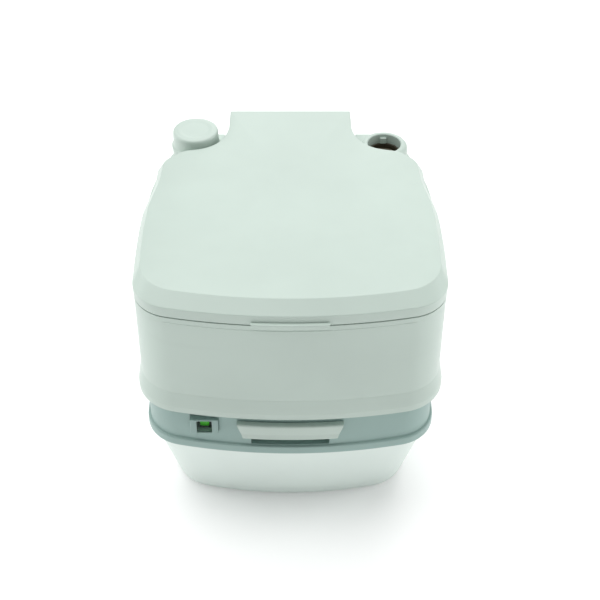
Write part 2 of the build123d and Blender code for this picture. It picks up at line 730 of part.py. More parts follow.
with BuildPart() as flush_tank:
    with BuildSketch(Plane.XY.offset(skirt_bottom)):
        add(body_outline())
    extrude(amount=rear_deck - skirt_bottom)
    fillet(faces().sort_by(Axis.Z)[-1].edges(), 4)
    add(skirt.part)
    add(plateau_block.part)
    with BuildSketch(Plane.XY.offset(neck_deck)):
        with Locations((0, plateau_rear)):
            Rectangle(184, 60, align=(Align.CENTER, Align.MIN))
    extrude(amount=20, mode=Mode.SUBTRACT)
    with BuildSketch(Plane.XY.offset(skirt_bottom)):
        add(body_outline(-wall))
    extrude(amount=neck_deck - wall - skirt_bottom, mode=Mode.SUBTRACT)
    add(plateau_hollow.part, mode=Mode.SUBTRACT)
    # Bowl opening
    with BuildSketch(Plane.XY.offset(neck_deck - wall)):
        with Locations((0, bowl_y)):
            Ellipse(bowl_half_x + 3.3, bowl_half_y + 3.3)
    extrude(amount=20, mode=Mode.SUBTRACT)
    # Pump turret and fill turret
    with BuildSketch(Plane.XY.offset(neck_deck - wall)):
        with Locations((pump_x, pump_y)):
            Circle(turret_radius)
    extrude(amount=13)
    with BuildSketch(Plane.XY.offset(neck_deck - wall)):
        with Locations((fill_x, fill_y)):
            Circle(turret_radius)
    extrude(amount=fill_rim - neck_deck + wall)
    fillet(edges().filter_by(GeomType.CIRCLE).group_by(Axis.Z)[-1], 8)
    with BuildSketch(Plane.XY.offset(300)):
        with Locations((pump_x, pump_y)):
            Circle(pump_cylinder_radius + 0.05)
        with Locations((fill_x, fill_y)):
            Circle(well_radius)
    extrude(amount=120, mode=Mode.SUBTRACT)
    with BuildSketch(Plane.XY.offset(fill_rim - 14)):
        with Locations((fill_x, fill_y)):
            with PolarLocations(well_radius - 1.2, 3, start_angle=90):
                Rectangle(4.2, 9)
    extrude(amount=9)
    # Hinge knuckles on the neck deck
    for side in (-1, 1):
        with BuildSketch(Plane.YZ.offset(side * knuckle_x)):
            with Locations((hinge_y, hinge_z)):
                Circle(knuckle_radius)
            with Locations((hinge_y - 1, (neck_deck - wall + hinge_z) / 2)):
                Rectangle(10, hinge_z - neck_deck + wall)
        extrude(amount=knuckle_width / 2, both=True)
    with BuildSketch(Plane.YZ):
        with Locations((hinge_y, hinge_z)):
            Circle(3.05)
    extrude(amount=70, both=True, mode=Mode.SUBTRACT)
    # Pocket for the latch, with the catch inside it
    with BuildSketch(Plane.XY.offset(skirt_bottom)):
        with Locations((0, body_rear - 12)):
            Rectangle(42, 9.5, align=(Align.CENTER, Align.MIN))
    extrude(amount=23)
    with BuildSketch(Plane.XY.offset(skirt_bottom)):
        with Locations((0, body_rear - 9.5)):
            Rectangle(36, 30, align=(Align.CENTER, Align.MIN))
    extrude(amount=21, mode=Mode.SUBTRACT)
    with BuildSketch(Plane.XY.offset(catch_top - 3)):
        with Locations((0, body_rear - 9.5)):
            Rectangle(24, 4.5, align=(Align.CENTER, Align.MIN))
    extrude(amount=3)
save(flush_tank.part, "flush_tank")

with BuildPart() as flush_tank_base:
    with BuildSketch(Plane.XY.offset(skirt_bottom)):
        add(body_outline(-wall - 0.02))
        with Locations((0, outlet_y)):
            Circle(outlet_radius + 3.3, mode=Mode.SUBTRACT)
        with Locations((0, body_rear)):
            Rectangle(43, 25, mode=Mode.SUBTRACT)
    extrude(amount=wall)
    with BuildSketch(Plane.XY.offset(deck_top + 0.2)):
        with Locations((-135, -105), (135, -105), (-120, 120), (120, 120)):
            Circle(9)
    extrude(amount=skirt_bottom - deck_top - 0.2)
save(flush_tank_base.part, "flush_tank_base")

# ---- Flush section: bowl, nozzle, hose and pump ------------------------------------------------------
bowl_throat_z = 262.0
hose_y, hose_low, nozzle_z = 155.5, 256.0, 363.0
with BuildPart() as bowl_outside:
    with BuildSketch(Plane.XY.offset(bowl_throat_z)):
        with Locations((0, outlet_y)):
            Circle(outlet_radius + 3)
    with BuildSketch(Plane.XY.offset(330)):
        with Locations((0, 0)):
            Ellipse(82, 98)
    with BuildSketch(Plane.XY.offset(plateau_top)):
        with Locations((0, bowl_y)):
            Ellipse(bowl_half_x + 3, bowl_half_y + 3)
    loft()

with BuildPart() as bowl_inside:
    with BuildSketch(Plane.XY.offset(bowl_throat_z)):
        with Locations((0, outlet_y)):
            Circle(outlet_radius)
    with BuildSketch(Plane.XY.offset(330)):
        with Locations((0, 0)):
            Ellipse(79, 95)
    with BuildSketch(Plane.XY.offset(plateau_top)):
        with Locations((0, bowl_y)):
            Ellipse(bowl_half_x, bowl_half_y)
    loft()

with BuildPart() as bowl:
    add(bowl_outside.part)
    with BuildSketch(Plane.XY.offset(plateau_top)):
        with Locations((0, bowl_y)):
            Ellipse(bowl_half_x + 14, bowl_half_y + 14)
    extrude(amount=2.2)
    with BuildSketch(Plane.XY.offset(valve_top + 4)):
        with Locations((0, outlet_y)):
            Circle(outlet_radius + 3)
    extrude(amount=bowl_throat_z - valve_top - 4)
    add(bowl_inside.part, mode=Mode.SUBTRACT)
    with BuildSketch(Plane.XY.offset(plateau_top)):
        with Locations((0, bowl_y)):
            Ellipse(bowl_half_x, bowl_half_y)
    extrude(amount=2.2, mode=Mode.SUBTRACT)
    with BuildSketch(Plane.XY.offset(valve_top + 4)):
        with Locations((0, outlet_y)):
            Circle(outlet_radius)
    extrude(amount=bowl_throat_z - valve_top - 4, mode=Mode.SUBTRACT)
    with BuildSketch(Plane.XZ.offset(-150)):
        with Locations((0, nozzle_z)):
            Circle(5.05)
    extrude(amount=50, mode=Mode.SUBTRACT)
save(bowl.part, "bowl")

nozzle_drop = 12.0
hose_radius, hose_bore = 5.0, 3.6
with BuildPart() as flush_nozzle:
    with BuildSketch(Plane.XZ.offset(-hose_y)):
        with Locations((0, nozzle_z)):
            Circle(5)
    extrude(amount=hose_y - 112)
    with Locations((0, hose_y, nozzle_z)):
        Sphere(6)
    with BuildSketch(Plane.XY.offset(nozzle_z - nozzle_drop)):
        with Locations((0, hose_y)):
            Circle(5)
    extrude(amount=nozzle_drop)
    with BuildSketch(Plane.XY.offset(nozzle_z - nozzle_drop - 12)):
        with Locations((0, hose_y)):
            Circle(hose_bore)
    extrude(amount=12)
    with BuildSketch(Plane.XZ.offset(-112)):
        with Locations((0, nozzle_z)):
            RectangleRounded(34, 12, 4)
    extrude(amount=3)
    with BuildSketch(Plane.XZ.offset(-hose_y - 2)):
        with Locations((0, nozzle_z)):
            Circle(2.6)
    extrude(amount=60, mode=Mode.SUBTRACT)
    with BuildSketch(Plane.XY.offset(nozzle_z - nozzle_drop - 12)):
        with Locations((0, hose_y)):
            Circle(2.2)
    extrude(amount=nozzle_drop + 12, mode=Mode.SUBTRACT)
    add(bowl.part, mode=Mode.SUBTRACT)
save(flush_nozzle.part, "flush_nozzle")

hose_start_x = pump_x + 33
with BuildPart() as flush_hose:
    with BuildLine() as hose_path:
        FilletPolyline(
            (hose_start_x, hose_y, hose_low), (0, hose_y, hose_low), (0, hose_y, nozzle_z - nozzle_drop),
            radius=42,
        )
    with BuildSketch(Plane(origin=(hose_start_x, hose_y, hose_low), z_dir=(1, 0, 0))):
        Circle(hose_radius)
        Circle(hose_bore, mode=Mode.SUBTRACT)
    sweep()
save(flush_hose.part, "flush_hose")

with BuildPart() as hose_clips:
    with BuildSketch(Plane.YZ.offset(hose_start_x + 3)):
        with Locations((hose_y, hose_low)):
            Circle(hose_radius + 1)
            Circle(hose_radius, mode=Mode.SUBTRACT)
    extrude(amount=5)
    with BuildSketch(Plane.XY.offset(nozzle_z - nozzle_drop - 8)):
        with Locations((0, hose_y)):
            Circle(hose_radius + 1)
            Circle(hose_radius, mode=Mode.SUBTRACT)
    extrude(amount=5)
save(hose_clips.part, "hose_clips")

pump_foot, pump_valve_top = 240.0, 250.0
with BuildPart() as pump_valve:
    with BuildSketch(Plane.XY.offset(pump_foot)):
        with Locations((pump_x, pump_y)):
            Circle(pump_cylinder_radius + 3)
    extrude(amount=22)
    with BuildSketch(Plane.XY.offset(pump_valve_top)):
        with Locations((pump_x, pump_y)):
            Circle(pump_cylinder_radius)
    extrude(amount=12, mode=Mode.SUBTRACT)
    with BuildSketch(Plane.XY.offset(pump_foot)):
        with Locations((pump_x, pump_y)):
            Circle(5)
    extrude(amount=10, mode=Mode.SUBTRACT)
    with BuildSketch(Plane.YZ.offset(pump_x + 22)):
        with Locations((hose_y, hose_low)):
            Circle(5)
    extrude(amount=11)
    with BuildSketch(Plane.YZ.offset(pump_x + 33)):
        with Locations((hose_y, hose_low)):
            Circle(hose_bore)
    extrude(amount=12)
    with BuildSketch(Plane.YZ.offset(pump_x + 15)):
        with Locations((hose_y, hose_low)):
            Circle(2.4)
    extrude(amount=32, mode=Mode.SUBTRACT)
save(pump_valve.part, "pump_valve")

with BuildPart() as pump_cylinder:
    with BuildSketch(Plane.XY.offset(pump_valve_top)):
        with Locations((pump_x, pump_y)):
            Circle(pump_cylinder_radius)
            Circle(pump_bore, mode=Mode.SUBTRACT)
    extrude(amount=384 - pump_valve_top)
    with BuildSketch(Plane.YZ.offset(pump_x + 16)):
        with Locations((hose_y, hose_low)):
            Circle(2.4)
    extrude(amount=8, mode=Mode.SUBTRACT)
save(pump_cylinder.part, "pump_cylinder")

rod_radius = 4.0
collar_top = 391.5
with BuildPart() as pump_collar:
    with BuildSketch(Plane.XY.offset(384)):
        with Locations((pump_x, pump_y)):
            Circle(turret_radius)
    extrude(amount=collar_top - 384)
    with BuildSketch(Plane.XY.offset(374)):
        with Locations((pump_x, pump_y)):
            Circle(pump_bore - 0.02)
    extrude(amount=10)
    with BuildSketch(Plane.XY.offset(370)):
        with Locations((pump_x, pump_y)):
            Circle(rod_radius + 0.06)
    extrude(amount=24, mode=Mode.SUBTRACT)
save(pump_collar.part, "pump_collar")

knob_bottom, knob_top = 392.0, 418.0
knob_flange_radius, knob_radius = 33.2, 30.6
with BuildPart() as pump_knob:
    with BuildSketch(Plane.XZ.offset(-pump_y)):
        with Locations((pump_x, knob_bottom)):
            Polygon(
                (0, 0), (knob_flange_radius, 0), (knob_flange_radius, 2.5), (knob_radius + 0.4, 5.5),
                (knob_radius, knob_top - knob_bottom), (0, knob_top - knob_bottom), align=None,
            )
    revolve(axis=Axis((pump_x, pump_y, 0), (0, 0, 1)))
    fillet(edges().group_by(Axis.Z)[-1], 5)
    with BuildSketch(Plane.XY.offset(knob_bottom)):
        with Locations((pump_x, pump_y)):
            Circle(26)
            Circle(9, mode=Mode.SUBTRACT)
    extrude(amount=18, mode=Mode.SUBTRACT)
    with BuildSketch(Plane.XY.offset(knob_bottom)):
        with Locations((pump_x, pump_y)):
            Circle(rod_radius)
    extrude(amount=14, mode=Mode.SUBTRACT)
save(pump_knob.part, "pump_knob")

piston_bottom, piston_height = 262.0, 10.0
with BuildPart() as pump_rod:
    with BuildSketch(Plane.XY.offset(piston_bottom + 4)):
        with Locations((pump_x, pump_y)):
            Circle(rod_radius)
    extrude(amount=knob_bottom + 14 - piston_bottom - 4)
save(pump_rod.part, "pump_rod")

with BuildPart() as pump_piston:
    with BuildSketch(Plane.XY.offset(piston_bottom)):
        with Locations((pump_x, pump_y)):
            Circle(17)
    extrude(amount=piston_height)
    with BuildSketch(Plane.XY.offset(piston_bottom + 3.5)):
        with Locations((pump_x, pump_y)):
            Circle(20)
            Circle(14.5, mode=Mode.SUBTRACT)
    extrude(amount=3, mode=Mode.SUBTRACT)
    with BuildSketch(Plane.XY.offset(piston_bottom + 4)):
        with Locations((pump_x, pump_y)):
            Circle(rod_radius)
    extrude(amount=piston_height, mode=Mode.SUBTRACT)
save(pump_piston.part, "pump_piston")

with BuildPart() as piston_seal:
    with BuildSketch(Plane.XY.offset(piston_bottom + 3.5)):
        with Locations((pump_x, pump_y)):
            Circle(pump_bore - 0.06)
            Circle(14.5, mode=Mode.SUBTRACT)
    extrude(amount=3)
save(piston_seal.part, "piston_seal")

# ---- Flush section: fill opening ---------------------------------------------------------------------
ledge_bottom, ledge_top = 362.0, 366.0
with BuildPart() as fill_neck:
    with BuildSketch(Plane.XY.offset(345)):
        with Locations((fill_x, fill_y)):
            Circle(well_radius - 0.02)
            Circle(well_radius - 2.5, mode=Mode.SUBTRACT)
    extrude(amount=381 - 345)
    with BuildSketch(Plane.XY.offset(ledge_bottom)):
        with Locations((fill_x, fill_y)):
            Circle(well_radius - 2.5)
            Circle(14, mode=Mode.SUBTRACT)
    extrude(amount=ledge_top - ledge_bottom)
save(fill_neck.part, "fill_neck")

with BuildPart() as fill_cap_seal:
    with BuildSketch(Plane.XY.offset(ledge_top + 0.1)):
        with Locations((fill_x, fill_y)):
            Circle(18.4)
            Circle(14.5, mode=Mode.SUBTRACT)
    extrude(amount=2.4)
save(fill_cap_seal.part, "fill_cap_seal")

with BuildPart() as fill_cap:
    with BuildSketch(Plane.XY.offset(ledge_top + 2.6)):
        with Locations((fill_x, fill_y)):
            Circle(18.6)
    extrude(amount=7)
    fillet(edges().group_by(Axis.Z)[-1], 1.5)
    with BuildSketch(Plane.XY.offset(ledge_top + 5)):
        with Locations((fill_x, fill_y)):
            Circle(15.5)
            Rectangle(5, 40, mode=Mode.SUBTRACT)
    extrude(amount=6, mode=Mode.SUBTRACT)
save(fill_cap.part, "fill_cap")

# ---- Seat and lid ------------------------------------------------------------------------------------
seat_bottom, seat_top = 386.5, 403.0
arm_inner, arm_outer = 62.0, 70.0
rib_inner, rib_outer = 72.0, 79.0
with BuildPart() as seat:
    with BuildSketch(Plane.XY.offset(seat_bottom)):
        add(lid_outline(16, 26, 16, rear=176))
    extrude(amount=seat_top - seat_bottom)
    with Locations((pump_x, pump_y, seat_top), (fill_x, fill_y, seat_top)):
        Cylinder(scallop_radius + 6, 60, mode=Mode.SUBTRACT)
    with BuildSketch(Plane.XY.offset(seat_bottom)):
        with Locations((0, bowl_y)):
            Ellipse(bowl_half_x - 4, bowl_half_y - 4)
    extrude(amount=seat_top - seat_bottom, mode=Mode.SUBTRACT)
    fillet(faces().sort_by(Axis.Z)[-1].inner_wires()[0].edges(), 5)
    for side in (-1, 1):
        with BuildSketch(Plane.YZ.offset(side * (arm_inner + arm_outer) / 2)):
            with Locations((hinge_y, hinge_z)):
                Circle(7)
            with Locations((180, hinge_z - 1.5)):
                Rectangle(38, 9)
        extrude(amount=(arm_outer - arm_inner) / 2, both=True)
    with BuildSketch(Plane.YZ):
        with Locations((hinge_y, hinge_z)):
            Circle(3.05)
    extrude(amount=90, both=True, mode=Mode.SUBTRACT)
save(seat.part, "seat")

with BuildPart() as seat_bumpers:
    with BuildSketch(Plane.XY.offset(plateau_top + 0.3)):
        with Locations((-140, -110), (140, -110), (-140, 60), (140, 60)):
            RectangleRounded(12, 26, 4)
    extrude(amount=seat_bottom - plateau_top - 0.3)
save(seat_bumpers.part, "seat_bumpers")

with BuildPart() as lid_hollow:
    for height, side_in, front_in, neck_in in (
        (lid_bottom, wall, wall, wall), (lid_bevel_bottom - 1.5, wall, wall, wall),
        (lid_bevel_top - wall, wall + 7, wall + 16, wall + 1),
    ):
        with BuildSketch(Plane.XY.offset(height)):
            add(lid_outline(side_in, front_in, neck_in, rear=neck_rear + 10))
    loft(ruled=True)
    with Locations((pump_x, pump_y, lid_bottom), (fill_x, fill_y, lid_bottom)):
        Cylinder(scallop_radius + wall, 80, mode=Mode.SUBTRACT)

with BuildPart() as lid_shell:
    for height, side_in, front_in, neck_in in (
        (lid_bottom, 0.5, 0, 0.2), (lid_bevel_bottom, 0, 0.6, 0),
        (lid_bevel_top, 8, 18.5, 1.5), (lid_top, 50, 70, 4),
    ):
        with BuildSketch(Plane.XY.offset(height)):
            add(lid_outline(side_in, front_in, neck_in))
    loft(ruled=True)

with BuildPart() as lid:
    add(lid_shell.part)
    with Locations((pump_x, pump_y, lid_bottom), (fill_x, fill_y, lid_bottom)):
        Cylinder(scallop_radius, 80, mode=Mode.SUBTRACT)
    add(lid_hollow.part, mode=Mode.SUBTRACT)
    # Finger tab on the front edge
    with BuildSketch(Plane.XZ.offset(-lid_front - 4)):
        Polygon((-46, 388.5), (-41.5, 381.2), (41.5, 381.2), (46, 388.5), align=None)
    extrude(amount=9.0)
    with BuildSketch(Plane.XZ.offset(-lid_front - 10)):
        Polygon((-50, lid_bottom), (-50, 380), (50, 380), (50, lid_bottom), align=None)
    extrude(amount=11.2, mode=Mode.SUBTRACT)
    # Notches for the knuckles and ribs that carry the pins
    for side in (-1, 1):
        with BuildSketch(Plane.XY.offset(lid_bottom)):
            with Locations((side * knuckle_x, hinge_y - knuckle_radius - 2)):
                Rectangle(knuckle_width + 1.6, 60, align=(Align.CENTER, Align.MIN))
        extrude(amount=lid_top - lid_bottom + 1, mode=Mode.SUBTRACT)
        with BuildSketch(Plane.YZ.offset(side * (rib_inner + rib_outer) / 2)):
            with Locations((hinge_y, hinge_z)):
                Circle(7)
            with Locations((hinge_y - 2, hinge_z + 4.5)):
                Rectangle(14, 9)
        extrude(amount=(rib_outer - rib_inner) / 2, both=True)
        with BuildSketch(Plane.YZ.offset(side * (rib_inner + rib_outer) / 2)):
            with Locations((hinge_y, hinge_z)):
                Circle(3.05)
        extrude(amount=(rib_outer - rib_inner) / 2, both=True, mode=Mode.SUBTRACT)
save(lid.part, "lid")

with BuildPart() as lid_bumpers:
    with BuildSketch(Plane.XY.offset(seat_top + 0.3)):
        with Locations((-128, -115), (128, -115), (-128, 60), (128, 60)):
            RectangleRounded(10, 22, 4)
    extrude(amount=lid_bevel_top - wall - seat_top - 0.3)
save(lid_bumpers.part, "lid_bumpers")

with BuildPart() as hinge_pins:
    for side in (-1, 1):
        with BuildSketch(Plane.YZ.offset(side * (knuckle_x - knuckle_width / 2 + rib_outer) / 2)):
            with Locations((hinge_y, hinge_z)):
                Circle(3)
        extrude(amount=(rib_outer - knuckle_x + knuckle_width / 2) / 2, both=True)
save(hinge_pins.part, "hinge_pins")
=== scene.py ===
"""Looks of a portable flush toilet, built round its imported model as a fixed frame."""
import json
import math

import bmesh
import bpy
import numpy as np
from bpy.props import FloatProperty, FloatVectorProperty, IntProperty, PointerProperty
from mathutils import Matrix, Vector

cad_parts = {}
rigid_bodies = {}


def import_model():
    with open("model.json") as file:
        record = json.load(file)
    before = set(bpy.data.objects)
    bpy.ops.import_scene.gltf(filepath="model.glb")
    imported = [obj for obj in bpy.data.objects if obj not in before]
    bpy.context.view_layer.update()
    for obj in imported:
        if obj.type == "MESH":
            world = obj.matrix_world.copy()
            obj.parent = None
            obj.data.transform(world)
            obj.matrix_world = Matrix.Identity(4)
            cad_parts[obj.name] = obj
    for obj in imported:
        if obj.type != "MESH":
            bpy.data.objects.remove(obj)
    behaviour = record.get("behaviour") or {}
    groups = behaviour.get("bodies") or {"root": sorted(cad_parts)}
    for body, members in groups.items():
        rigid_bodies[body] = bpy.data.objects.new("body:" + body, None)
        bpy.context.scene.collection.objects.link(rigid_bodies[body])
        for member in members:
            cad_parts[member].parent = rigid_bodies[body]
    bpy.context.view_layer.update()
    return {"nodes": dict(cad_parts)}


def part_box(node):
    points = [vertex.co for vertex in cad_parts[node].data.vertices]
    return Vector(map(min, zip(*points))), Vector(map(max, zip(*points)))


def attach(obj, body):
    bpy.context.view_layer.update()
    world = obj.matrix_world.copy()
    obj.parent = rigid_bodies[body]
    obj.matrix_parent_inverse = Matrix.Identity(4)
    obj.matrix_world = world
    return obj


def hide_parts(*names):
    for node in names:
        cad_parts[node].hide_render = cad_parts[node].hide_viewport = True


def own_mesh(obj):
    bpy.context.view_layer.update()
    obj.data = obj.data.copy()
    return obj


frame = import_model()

bl_info = {
    "name": "Portable flush toilet",
    "version": (1, 0, 0),
    "blender": (4, 5, 0),
    "location": "View3D > Sidebar > Toilet",
    "description": "Moulded shells, fittings and plastics of a two-section portable toilet",
    "category": "Object",
}

MM = 0.001
KNUCKLE_X = 53 * MM  # the flush tank's hinge knuckles, from the middle
HINGE_BORE = 3.05 * MM  # radius of the hole round a hinge pin
THROUGH = 9 * MM  # half the length of a cutter that goes right through a lug
CROWN_Y = 20 * MM  # where the lid's top is highest


def low(node):
    """Lowest corner of a CAD node."""
    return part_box(node)[0]


def high(node):
    """Highest corner of a CAD node."""
    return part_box(node)[1]


def middle(node):
    """Middle of a CAD node."""
    return (low(node) + high(node)) / 2


# ---- Settings ----------------------------------------------------------------------------------------
def length(name, description, default):
    """A length in metres."""
    return FloatProperty(name=name, description=description, default=default, unit="LENGTH", precision=5)


def colour(name, description, default):
    """A linear colour."""
    return FloatVectorProperty(name=name, description=description, default=default, size=3, subtype="COLOR",
                               min=0, max=1)


class ToiletSizes(bpy.types.PropertyGroup):
    """Sizes of the moulded shells."""
    wall: length("Wall", "Thickness of the moulded walls", 3.0 * MM)
    skirt_out: length("Skirt", "How far the flush tank's skirt flares", 4.5 * MM)
    skirt_height: length("Skirt height", "Height of the flared skirt", 27 * MM)
    edge_radius: length("Edge radius", "Rounding of the tank's top edge", 1.0 * MM)
    face_in: length("Band face", "How far the grey band stands inside the tank's wall", 6.0 * MM)
    strip_in: length("Band strip", "How far the band's top strip stands inside the tank's wall", 3.5 * MM)
    lip_in: length("Band lip", "How far the band's rolled lip stands inside the tank's wall", 2.6 * MM)
    tub_in: length("Tub", "How far the tub's top stands inside the tank's wall", 9.0 * MM)
    lid_bevel: length("Lid bevel", "Width of the sloping front edge of the lid", 18.5 * MM)
    lid_crown: length("Lid crown", "Rise of the lid's top in its middle", 4.0 * MM)
    front_bow: length("Front bow", "How far the front bows out between its corners", 26 * MM)
    detail: IntProperty(name="Detail", description="Points along each stretch of an outline", default=14,
                        min=4, max=40)


class ToiletColours(bpy.types.PropertyGroup):
    """Colours of the plastics and fittings."""
    shell: colour("Shell", "Flush tank, seat and lid", (0.500, 0.596, 0.541))
    tub: colour("Tub", "Waste tank", (0.70, 0.79, 0.745))
    band: colour("Band", "Waste tank cover", (0.29, 0.415, 0.385))
    fittings: colour("Fittings", "Spout, carry handle and latch", (0.22, 0.27, 0.255))
    # Made lighter, this tone is also the fill cap's finish, which is partly painted shade of the deep fill well.
    dark: colour("Dark plastic", "Caps and small moulded pieces", (0.055, 0.046, 0.028))
    flag: colour("Level flag", "The flag's green half", (0.06, 0.66, 0.008))
    flag_full: colour("Full flag", "The flag's red half", (0.52, 0.018, 0.012))
    rubber: colour("Rubber", "Seals", (0.022, 0.022, 0.021))
    bumper: colour("Bumper", "Seat and lid bumpers", (0.17, 0.18, 0.18))
    steel: colour("Steel", "Screws, pins, rod and springs", (0.60, 0.60, 0.58))


class StageSettings(bpy.types.PropertyGroup):
    """Floor, lights and camera."""
    floor: colour("Floor", "Pale floor", (0.93, 0.93, 0.93))
    floor_glow: FloatProperty(name="Floor glow", description="Light that the floor gives off", default=0.12, min=0)
    sky_strength: FloatProperty(name="Surround", description="Strength of the surround", default=0.38, min=0)
    roof_strength: FloatProperty(name="Roof", description="Strength of the soft light overhead", default=2.35,
                                 min=0)
    camera_height: length("Camera height", "Height of the camera above the floor", 1.331)
    camera_distance: length("Camera distance", "Distance of the camera in front of the origin", 1.2826)
    camera_pitch: FloatProperty(name="Pitch", description="How far the camera looks down", unit="ROTATION",
                                default=math.radians(40.2))
    lens: FloatProperty(name="Lens", description="Focal length", default=75.0, unit="CAMERA")
    shift: FloatProperty(name="Shift", description="Sideways shift of the frame", default=0.0162)


# ---- Shader nodes ------------------------------------------------------------------------------------
class Value:
    """A shader socket whose arithmetic adds Math nodes."""

    def __init__(self, maker, socket):
        self.maker, self.socket = maker, socket

    def math(self, operation, *others):
        return self.maker.node("ShaderNodeMath", {"operation": operation}, self, *others)

    def __add__(self, other):
        return self.math("ADD", other)

    def __radd__(self, other):
        return self.math("ADD", other)

    def __sub__(self, other):
        return self.math("SUBTRACT", other)

    def __rsub__(self, other):
        return self.maker.node("ShaderNodeMath", {"operation": "SUBTRACT"}, other, self)

    def __mul__(self, other):
        return self.math("MULTIPLY", other)

    def __rmul__(self, other):
        return self.math("MULTIPLY", other)

    def __truediv__(self, other):
        return self.math("DIVIDE", other)

    def clamp(self, start, end):
        """0 below start, 1 above end, smooth between."""
        return self.maker.node("ShaderNodeMapRange", {"interpolation_type": "SMOOTHSTEP"}, self, start, end)


class Maker:
    """Builds one material."""

    def __init__(self, name):
        self.material = bpy.data.materials.new(name)
        self.material.use_nodes = True
        self.tree = self.material.node_tree
        self.tree.nodes.clear()
        self.output = self.tree.nodes.new("ShaderNodeOutputMaterial")

    def node(self, kind, settings=None, *values, out=0, **named):
        """Add a node, set it up, fill its sockets and give one of its outputs."""
        made = self.tree.nodes.new(kind)
        for key, value in (settings or {}).items():
            if key == "stops":
                for index, (place, shade) in enumerate(value):
                    ramp = made.color_ramp.elements
                    stop = ramp[index] if index < len(ramp) else ramp.new(place)
                    stop.position, stop.color = place, shade
            else:
                setattr(made, key, value)
        pairs = list(enumerate(values)) + [(key.replace("_", " "), value) for key, value in named.items()]
        for key, value in pairs:
            if value is None:
                continue
            socket = made.inputs[key]
            if isinstance(value, Value):
                self.tree.links.new(value.socket, socket)
            else:
                socket.default_value = value
        return Value(self, made.outputs[out])

    def place(self):
        """Object coordinates."""
        return self.node("ShaderNodeTexCoord", out="Object")

    def stretch(self, scale, turn=(0, 0, 0)):
        """Object coordinates, scaled and turned."""
        return self.node("ShaderNodeMapping", {}, Vector=self.place(), Scale=scale, Rotation=turn)

    def noise(self, scale, detail=4.0, rough=0.5, where=None):
        """Noise from 0 to 1."""
        return self.node("ShaderNodeTexNoise", {}, Vector=where or self.place(), Scale=scale, Detail=detail,
                         Roughness=rough)

    def blend(self, factor, first, second):
        """Mix two colours."""
        made = self.tree.nodes.new("ShaderNodeMix")
        made.data_type = "RGBA"
        for key, value in (("Factor_Float", factor), ("A_Color", first), ("B_Color", second)):
            socket = next(s for s in made.inputs if s.identifier == key)
            if isinstance(value, Value):
                self.tree.links.new(value.socket, socket)
            else:
                socket.default_value = value if key == "Factor_Float" else (*value[:3], 1)
        return Value(self, next(s for s in made.outputs if s.identifier == "Result_Color"))

    def bump(self, height, strength, distance, under=None):
        """A normal from a height."""
        return self.node("ShaderNodeBump", {}, Height=height, Strength=strength, Distance=distance,
                         Normal=under)

    def finish(self, base, roughness, normal=None, metallic=0.0, **fixed):
        """Principled surface. fixed holds sockets that are the same all over."""
        shader = self.node("ShaderNodeBsdfPrincipled", {}, **{"Base Color": base}, Roughness=roughness,
                           Metallic=metallic, Normal=normal, **fixed)
        self.tree.links.new(shader.socket, self.output.inputs["Surface"])
        return self.material


def shaded(tone, factor):
    """A colour made lighter or darker."""
    return tuple(min(1.0, channel * factor) for channel in tone)


def upward(maker):
    """How far a surface faces up, 0 to 1."""
    normal = maker.node("ShaderNodeNewGeometry", {}, out="Normal")
    return maker.node("ShaderNodeSeparateXYZ", {}, normal, out="Z").clamp(0.15, 0.95)


def moulded_plastic(name, tone, grain=0.35, gloss=0.30, dust=0.05, subsurface=0.0, flow=0.02):
    """Injection-moulded plastic: spark-eroded grain, faint flow marks, handling scuffs and settled dust."""
    maker = Maker(name)
    cloud = maker.noise(5.5, 3.0)
    streak = maker.noise(9.0, 4.0, where=maker.stretch((1.0, 1.0, 7.0), (0.0, 0.12, 0.3)))
    base = maker.blend(cloud.clamp(0.35, 0.68), shaded(tone, 1 - 1.4 * flow), shaded(tone, 1 + flow))
    base = maker.blend(streak.clamp(0.60, 0.78) * 0.25, base, shaded(tone, 1 - 3 * flow))
    dusty = maker.noise(38.0, 6.0, 0.6)
    settled = upward(maker) * dusty.clamp(0.42, 0.75) * dust
    base = maker.blend(settled, base, shaded(tone, 0.80))
    scuff = maker.noise(60.0, 3.0, where=maker.stretch((1.0, 9.0, 1.0), (0.2, 0.1, 0.6))).clamp(0.66, 0.80)
    speck = maker.node("ShaderNodeTexVoronoi", {"feature": "F1"}, Vector=maker.place(), Scale=1500.0)
    fine = maker.noise(2400.0, 2.0, 0.7)
    ripple = maker.noise(16.0, 2.0)
    rough = gloss + 0.07 * cloud + 0.12 * scuff + 0.18 * settled + 0.05 * fine
    normal = maker.bump(ripple, 0.06, 0.0006)
    normal = maker.bump(speck * 0.6 + fine * 0.4, grain, 0.00005, normal)
    return maker.finish(base, rough, normal, Specular_IOR_Level=0.5, Subsurface_Weight=subsurface,
                        Subsurface_Scale=0.004, Subsurface_Radius=(1.0, 1.0, 0.9))


def rubber(name, tone):
    """Moulded rubber with a matt bloom."""
    maker = Maker(name)
    bloom = maker.noise(45.0, 5.0, 0.6)
    base = maker.blend(bloom.clamp(0.4, 0.75), tone, shaded(tone, 2.2))
    fine = maker.noise(900.0, 3.0, 0.6)
    return maker.finish(base, 0.62 + 0.2 * bloom, maker.bump(fine, 0.25, 0.00008), Specular_IOR_Level=0.35)


def drawn_steel(name, tone):
    """Turned steel with fine lines and a little staining."""
    maker = Maker(name)
    lines = maker.noise(500.0, 3.0, where=maker.stretch((1.0, 1.0, 12.0)))
    stain = maker.noise(60.0, 4.0)
    base = maker.blend(stain.clamp(0.45, 0.8), tone, shaded(tone, 0.72))
    return maker.finish(base, 0.22 + 0.12 * lines + 0.10 * stain, maker.bump(lines, 0.12, 0.00004),
                        metallic=1.0)


